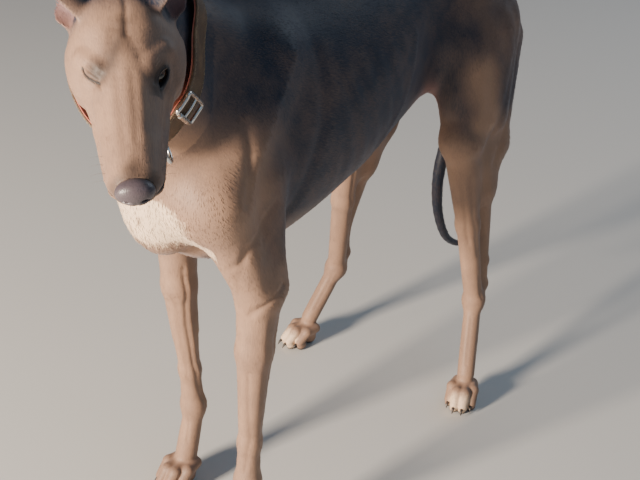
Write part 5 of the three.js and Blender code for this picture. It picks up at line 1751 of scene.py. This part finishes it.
class Signal:
    """A number on its way between the nodes of a material, which Python sums and products work on."""

    def __init__(self, paint, socket):
        self.paint, self.socket = paint, socket

    def __add__(self, other):
        return self.paint.math("ADD", self, other)

    def __radd__(self, other):
        return self.paint.math("ADD", other, self)

    def __sub__(self, other):
        return self.paint.math("SUBTRACT", self, other)

    def __rsub__(self, other):
        return self.paint.math("SUBTRACT", other, self)

    def __mul__(self, other):
        return self.paint.math("MULTIPLY", self, other)

    def __rmul__(self, other):
        return self.paint.math("MULTIPLY", other, self)


class Paint:
    """A material under construction."""

    def __init__(self, name, **settings):
        self.material = bpy.data.materials.new(name)
        self.material.use_nodes = True
        self.tree = self.material.node_tree
        self.shader = self.tree.nodes["Principled BSDF"]
        for key, value in settings.items():
            self.shade(key.replace("_", " ").title().replace("Ior", "IOR"), value)

    def feed(self, socket, value):
        if isinstance(value, Signal):
            self.tree.links.new(value.socket, socket)
        else:
            socket.default_value = value

    def node(self, kind, settings, inputs):
        """A node of one type, given its settings first and then the values or links of its inputs."""
        made = self.tree.nodes.new(kind)
        for key, value in settings.items():
            setattr(made, key, value)
        for key, value in inputs.items():
            self.feed(made.inputs[key], value)
        return {out.name: Signal(self, out) for out in reversed(made.outputs) if out.enabled}

    def math(self, operation, *values):
        return self.node("ShaderNodeMath", {"operation": operation}, dict(enumerate(values)))["Value"]

    def clear(self, value):
        return self.node("ShaderNodeClamp", {}, {"Value": value})["Result"]

    def ramp(self, value, low, high):
        ends = {"Value": value, "From Min": low, "From Max": high}
        return self.node("ShaderNodeMapRange", {"interpolation_type": "SMOOTHSTEP"}, ends)["Result"]

    def blend(self, a, b, share):
        colours = {"A": a, "B": b}
        made = self.tree.nodes.new("ShaderNodeMix")
        made.data_type = "RGBA"
        self.feed(made.inputs[0], share)
        for socket in made.inputs:
            if socket.enabled and socket.name in colours:
                self.feed(socket, colours[socket.name])
        return Signal(self, next(out for out in made.outputs if out.enabled))

    def place(self):
        return self.node("ShaderNodeTexCoord", {}, {})["Object"]

    def noise(self, place, scale, detail=3.0, rough=0.5):
        return self.node("ShaderNodeTexNoise", {}, {"Vector": place, "Scale": scale, "Detail": detail,
                                                    "Roughness": rough})["Fac"]

    def cells(self, place, scale):
        return self.node("ShaderNodeTexVoronoi", {}, {"Vector": place, "Scale": scale})["Distance"]

    def channels(self, name):
        """The four numbers that a mesh keeps at each point under a name."""
        found = self.node("ShaderNodeAttribute", {"attribute_name": name}, {})
        parts = self.node("ShaderNodeSeparateColor", {}, {"Color": found["Color"]})
        return parts["Red"], parts["Green"], parts["Blue"], found["Alpha"]

    def vector(self, operation, inputs, result="Vector"):
        return self.node("ShaderNodeVectorMath", {"operation": operation}, inputs)[result]

    def drawn_out(self, place, way, across, along):
        """Coordinates that are stretched along one direction, from turns per metre across and along it."""
        run = self.vector("DOT_PRODUCT", {0: place, 1: tuple(way)}, "Value")
        extra = self.vector("SCALE", {0: tuple(way), "Scale": run * (along - across)})
        wide = self.vector("SCALE", {0: place, "Scale": across})
        return self.vector("ADD", {0: wide, 1: extra})

    def bump(self, height, distance, strength):
        inputs = {"Height": height, "Distance": distance, "Strength": strength}
        return self.node("ShaderNodeBump", {}, inputs)["Normal"]

    def shade(self, name, value):
        self.feed(self.shader.inputs[name], value)


def tint(colour):
    return (*colour, 1.0)


def coat_material(colours):
    paint = Paint("coat", sheen_weight=0.12, sheen_roughness=0.35, sheen_tint=(0.72, 0.80, 1.0, 1.0),
                  specular_ior_level=0.32)
    place = paint.place()
    cream, dark_and_painted_shade, bare, tone_and_painted_light = paint.channels("marks")
    fine = 0.0
    for share, way in zip(paint.channels("streaks"), STREAKS):
        fine = fine + share * paint.noise(paint.drawn_out(place, way, 820.0, 110.0), 1.0, 2.0, 0.6)
    patchy = paint.noise(place, 16.0, 4.0, 0.6)
    # The warmth carries painted light and shade as well as the coat's own tone
    warmth = paint.clear(tone_and_painted_light + (patchy - 0.5) * 0.4 + (fine - 0.5) * 0.5)
    # Slate where the tone is low paints shade; warm where it is high
    colour = paint.blend(tint(colours.slate_hair_and_shade), tint(colours.warm_hair), warmth)
    colour = paint.blend(colour, tint(colours.cream_hair), paint.clear(cream * (0.75 + fine * 0.5)))
    colour = paint.blend(colour, tint(colours.bare_skin), bare)
    # Dark skin, and painted shade round the eyes and on the forehead
    colour = paint.blend(colour, tint(colours.dark_skin_and_shade), dark_and_painted_shade)
    paint.shade("Base Color", colour)
    paint.shade("Roughness", paint.clear(0.44 + fine * 0.2))
    paint.shade("Normal", paint.bump(fine, 0.0005, 0.45))
    return paint.material


def nose_material(colours):
    paint = Paint("nose leather", specular_ior_level=0.55)
    place = paint.place()
    pebble = paint.cells(place, 950.0)
    patchy = paint.noise(place, 90.0)
    shade = paint.ramp(patchy + pebble * 0.4, 0.45, 1.0) * 0.6
    paint.shade("Base Color", paint.blend(tint(colours.nose), (0.045, 0.036, 0.045, 1.0), shade))
    paint.shade("Roughness", paint.clear(0.30 + patchy * 0.16))
    paint.shade("Normal", paint.bump(1 - pebble, 0.0003, 0.5))
    return paint.material


def horn_material(colours):
    paint = Paint("claw horn", specular_ior_level=0.5)
    grain = paint.noise(paint.place(), 300.0)
    pale = paint.ramp(grain, 0.5, 0.8)
    paint.shade("Base Color", paint.blend(tint(colours.horn), (0.16, 0.12, 0.10, 1.0), pale))
    paint.shade("Roughness", 0.32 + grain * 0.15)
    return paint.material


PUPIL = (0.004, 0.003, 0.003, 1.0)
IRIS_RIM = (0.012, 0.008, 0.006, 1.0)
EYE_WHITE = (0.22, 0.15, 0.12, 1.0)


def eye_material(colours):
    """Iris, pupil and white by how far a point is from the middle of the clear front."""
    paint = Paint("eye", roughness=0.06, coat_weight=1.0, coat_roughness=0.02, specular_ior_level=0.6)
    turn, _, _, _ = paint.channels("marks")
    rays = paint.noise(paint.place(), 900.0)
    colour = paint.blend(PUPIL, tint(colours.iris), paint.ramp(turn + rays * 0.02, 0.085, 0.11))
    colour = paint.blend(colour, IRIS_RIM, paint.ramp(turn, 0.185, 0.215))
    paint.shade("Base Color", paint.blend(colour, EYE_WHITE, paint.ramp(turn, 0.225, 0.26)))
    return paint.material


def leather_material(name, colour, worn, rough):
    paint = Paint(name, specular_ior_level=0.4)
    place = paint.place()
    patchy = paint.noise(place, 45.0, 5.0, 0.65)
    grain = paint.cells(place, 900.0)
    paint.shade("Base Color", paint.blend(tint(colour), tint(worn), paint.ramp(patchy, 0.42, 0.78)))
    paint.shade("Roughness", paint.clear(rough + patchy * 0.2))
    paint.shade("Normal", paint.bump(grain + patchy * 1.5, 0.0004, 0.6))
    return paint.material


def plain_material(name, colour, rough, metal=0.0):
    paint = Paint(name, metallic=metal)
    smudge = paint.noise(paint.place(), 120.0)
    paint.shade("Base Color", tint(colour))
    paint.shade("Roughness", paint.clear(rough + smudge * 0.12))
    return paint.material


# The stage

# Lights by name, place, aim, watts, width and colour
LIGHTS = [
    ("key", (-0.8, -3.5, 1.3), (0, -0.1, 0.5), 460, 0.7, (1.0, 0.84, 0.67)),
    ("fill", (2.8, -0.9, 2.4), (0, 0, 0.4), 11, 2.6, (0.45, 0.73, 1.0)),
    ("back", (0.6, 3.1, 2.3), (0, 0, 0.5), 26, 2.2, (0.8, 0.9, 1.0)),
]
SKY_COLOUR = (0.70, 0.82, 1.0, 1.0)
SKY_STRENGTH = 0.16


def area_light(name, place, target, watts, width, colour):
    data = bpy.data.lights.new(name, "AREA")
    data.energy, data.size, data.color = watts, width, colour
    light = bpy.data.objects.new(name, data)
    light.location = place
    light.rotation_euler = (Vector(place) - Vector(target)).to_track_quat("Z", "Y").to_euler()
    bpy.context.scene.collection.objects.link(light)


CAMERA_YAW = 34.5
CAMERA_PITCH = 27.4
CAMERA_ROLL = -2.6
CAMERA_PLACE = (0.83, -0.953, 1.087)
CAMERA_LENS = 68.5


def add_camera():
    yaw, pitch, roll = (math.radians(a) for a in (CAMERA_YAW, CAMERA_PITCH, CAMERA_ROLL))
    ahead = vec(-math.sin(yaw) * math.cos(pitch), math.cos(yaw) * math.cos(pitch), -math.sin(pitch))
    flat = vec(math.cos(yaw), math.sin(yaw), 0)
    under = np.cross(ahead, flat)
    right = flat * math.cos(roll) + under * math.sin(roll)
    down = under * math.cos(roll) - flat * math.sin(roll)
    data = bpy.data.cameras.new("camera")
    data.lens = CAMERA_LENS
    camera = bpy.data.objects.new("camera", data)
    bpy.context.scene.collection.objects.link(camera)
    place = np.eye(4)
    place[:3, :3] = np.stack([right, -down, -ahead], 1)
    place[:3, 3] = vec(*CAMERA_PLACE) - SHIFT * MM
    camera.matrix_world = Matrix(place.tolist())
    bpy.context.scene.camera = camera


# What a user changes

def amount(name, description, default, low, high):
    return bpy.props.FloatProperty(name=name, description=description, default=default, min=low, max=high,
                                   subtype="FACTOR")


def colour_of(name, description, default):
    return bpy.props.FloatVectorProperty(name=name, description=description, default=default, min=0, max=1,
                                         subtype="COLOR")


class GreyhoundSizes(bpy.types.PropertyGroup):
    hair: amount("Hair length", "Length of the coat's tufts against the life-size ones", 1.0, 0.3, 1.5)
    whiskers: amount("Whisker length", "Length of the whiskers against the life-size ones", 1.0, 0.2, 1.2)


class GreyhoundColours(bpy.types.PropertyGroup):
    warm_hair: colour_of("Warm hair", "Hair where the coat is brownest", (0.362, 0.222, 0.147))
    # The slate colour is the dark blue of hair in shade, so it paints shade where the tone is low
    slate_hair_and_shade: colour_of("Slate hair", "Hair where the coat is bluest", (0.016, 0.023, 0.042))
    cream_hair: colour_of("Cream hair", "Hair of the chest patch and the hind toes", (0.82, 0.62, 0.44))
    bare_skin: colour_of("Bare skin", "Thinly haired skin in the ears and the groin", (0.42, 0.22, 0.19))
    # Colour of the dark skin, and of the painted shade round the eyes and on the forehead
    dark_skin_and_shade: colour_of("Dark skin", "Lids, lips and pads", (0.020, 0.016, 0.017))
    nose: colour_of("Nose", "Skin of the nose", (0.092, 0.072, 0.085))
    iris: colour_of("Iris", "Iris of the eyes", (0.080, 0.036, 0.016))
    horn: colour_of("Claws", "Horn of the claws", (0.030, 0.024, 0.022))
    whisker: colour_of("Whiskers", "Whiskers and lashes", (0.075, 0.060, 0.055))
    leather: colour_of("Leather", "Outer leather of the collar", (0.085, 0.050, 0.028))
    lining: colour_of("Lining", "Lining and edge of the collar", (0.40, 0.115, 0.080))
    thread: colour_of("Thread", "Stitches of the collar", (0.26, 0.20, 0.13))
    metal: colour_of("Metal", "Buckle and ring", (0.72, 0.71, 0.69))
    floor: colour_of("Floor", "Floor below the animal", (0.62, 0.62, 0.61))


class Maker(bpy.types.Operator):
    """Shared by the operators below"""
    bl_options = {"REGISTER", "UNDO"}

    def execute(self, context):
        self.make(context.scene.greyhound_sizes, context.scene.greyhound_colours)
        return {"FINISHED"}


class GREYHOUND_OT_coat(Maker):
    """Skin with its folds, and the tufts of hair over it"""
    bl_idname = "greyhound.coat"
    bl_label = "Skin and coat"

    def make(self, sizes, colours):
        points, faces = whole_skin()
        points = points + point_normals(points, faces) * relief(points, point_normals(points, faces))[:, None]
        points[:, 2] = np.maximum(points[:, 2], SOLE_LIFT)
        normals = point_normals(points, faces)
        material = coat_material(colours)
        skin = new_mesh("skin", points, faces, marks(points, normals), streak_weights(lie(points, normals)))
        hidden = [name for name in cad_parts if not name.startswith(("eye", "nose", "collar"))]
        finished(skin, "coat", material, *hidden)
        coat_pieces(points, faces, normals, material, sizes.hair)


class GREYHOUND_OT_eyes(Maker):
    """Both eyeballs"""
    bl_idname = "greyhound.eyes"
    bl_label = "Eyes"

    def make(self, sizes, colours):
        material = eye_material(colours)
        for s, name in ((1, "left"), (-1, "right")):
            points, faces = eyeball(s)
            local = LIDS[s].into(points)
            turn = np.arctan2(np.hypot(local[:, 0], local[:, 2]), local[:, 1]) / np.pi
            piece = new_mesh("eyeball_" + name, points, faces, np.repeat(turn[:, None], 4, 1))
            finished(piece, "eye", material, "eye_" + name)


class GREYHOUND_OT_nose(Maker):
    """Nose leather with its nostrils"""
    bl_idname = "greyhound.nose"
    bl_label = "Nose"

    def make(self, sizes, colours):
        finished(new_mesh("nose_leather", *nose_leather()), "nose", nose_material(colours), "nose")


class GREYHOUND_OT_claws(Maker):
    """Claws of all four feet"""
    bl_idname = "greyhound.claws"
    bl_label = "Claws"

    def make(self, sizes, colours):
        finished(new_mesh("claws", *claws()), "nose", horn_material(colours))


class GREYHOUND_OT_whiskers(Maker):
    """Whiskers and lashes"""
    bl_idname = "greyhound.whiskers"
    bl_label = "Whiskers and lashes"

    def make(self, sizes, colours):
        material = plain_material("whiskers", colours.whisker, 0.4)
        finished(new_mesh("whiskers", *whiskers(sizes.whiskers)), "coat", material)


class GREYHOUND_OT_collar(Maker):
    """Leather strap with its lining, stitches and ring loop"""
    bl_idname = "greyhound.collar"
    bl_label = "Collar"

    def make(self, sizes, colours):
        half = COLLAR_WIDTH / 2
        strap = merged([strap_band(rounded_section(half - 0.6, 1.5, COLLAR_THICK, 0.8, 0.3)), ring_loop()])
        outer = leather_material("collar leather", colours.leather, (0.19, 0.115, 0.06), 0.38)
        finished(new_mesh("strap", *strap), "strap", outer, "collar")
        lining = strap_band(rounded_section(half, 0.15, 1.6, 0.6))
        inner = leather_material("collar lining", colours.lining, (0.52, 0.20, 0.15), 0.5)
        finished(new_mesh("strap_lining", *lining), "strap", inner)
        thread = plain_material("thread", colours.thread, 0.6)
        finished(new_mesh("strap_stitches", *strap_stitches()), "strap", thread)


class GREYHOUND_OT_buckle(Maker):
    """Buckle and ring of the collar"""
    bl_idname = "greyhound.buckle"
    bl_label = "Buckle and ring"

    def make(self, sizes, colours):
        metal = plain_material("nickel", colours.metal, 0.2, 1.0)
        finished(new_mesh("buckle", *buckle()), "buckle", metal, "collar_buckle")
        finished(new_mesh("ring", *tag_ring()), "buckle", metal, "collar_ring")


class GREYHOUND_OT_stage(Maker):
    """Floor, soft light and camera"""
    bl_idname = "greyhound.stage"
    bl_label = "Floor, light and camera"

    def make(self, sizes, colours):
        edge = 15000
        corners = np.array([(-edge, -edge, 0), (edge, -edge, 0), (edge, edge, 0), (-edge, edge, 0)], float)
        floor = new_mesh("floor", corners + SHIFT, [np.array([[0, 1, 2, 3]])])
        floor.data.materials.append(plain_material("floor", colours.floor, 0.6))
        for light in LIGHTS:
            area_light(*light)
        world = bpy.data.worlds.new("studio")
        world.use_nodes = True
        sky = world.node_tree.nodes["Background"].inputs
        sky["Color"].default_value = SKY_COLOUR
        sky["Strength"].default_value = SKY_STRENGTH
        bpy.context.scene.world = world
        add_camera()


MAKERS = (GREYHOUND_OT_coat, GREYHOUND_OT_eyes, GREYHOUND_OT_nose, GREYHOUND_OT_claws, GREYHOUND_OT_whiskers,
          GREYHOUND_OT_collar, GREYHOUND_OT_buckle, GREYHOUND_OT_stage)


class GREYHOUND_PT_pieces(bpy.types.Panel):
    """Sizes, colours and pieces of the greyhound"""
    bl_label = "Greyhound"
    bl_idname = "GREYHOUND_PT_pieces"
    bl_space_type = "VIEW_3D"
    bl_region_type = "UI"
    bl_category = "Greyhound"

    def draw(self, context):
        for group in (context.scene.greyhound_sizes, context.scene.greyhound_colours):
            for name in group.__annotations__:
                self.layout.prop(group, name)
        for maker in MAKERS:
            self.layout.operator(maker.bl_idname)


CLASSES = (GreyhoundSizes, GreyhoundColours, *MAKERS, GREYHOUND_PT_pieces)


def register():
    for kind in CLASSES:
        bpy.utils.register_class(kind)
    bpy.types.Scene.greyhound_sizes = bpy.props.PointerProperty(type=GreyhoundSizes)
    bpy.types.Scene.greyhound_colours = bpy.props.PointerProperty(type=GreyhoundColours)


def unregister():
    del bpy.types.Scene.greyhound_colours
    del bpy.types.Scene.greyhound_sizes
    for kind in reversed(CLASSES):
        bpy.utils.unregister_class(kind)


def main():
    register()
    for maker in MAKERS:
        getattr(bpy.ops.greyhound, maker.bl_idname.split(".")[1])()


if __name__ == "__main__":
    main()
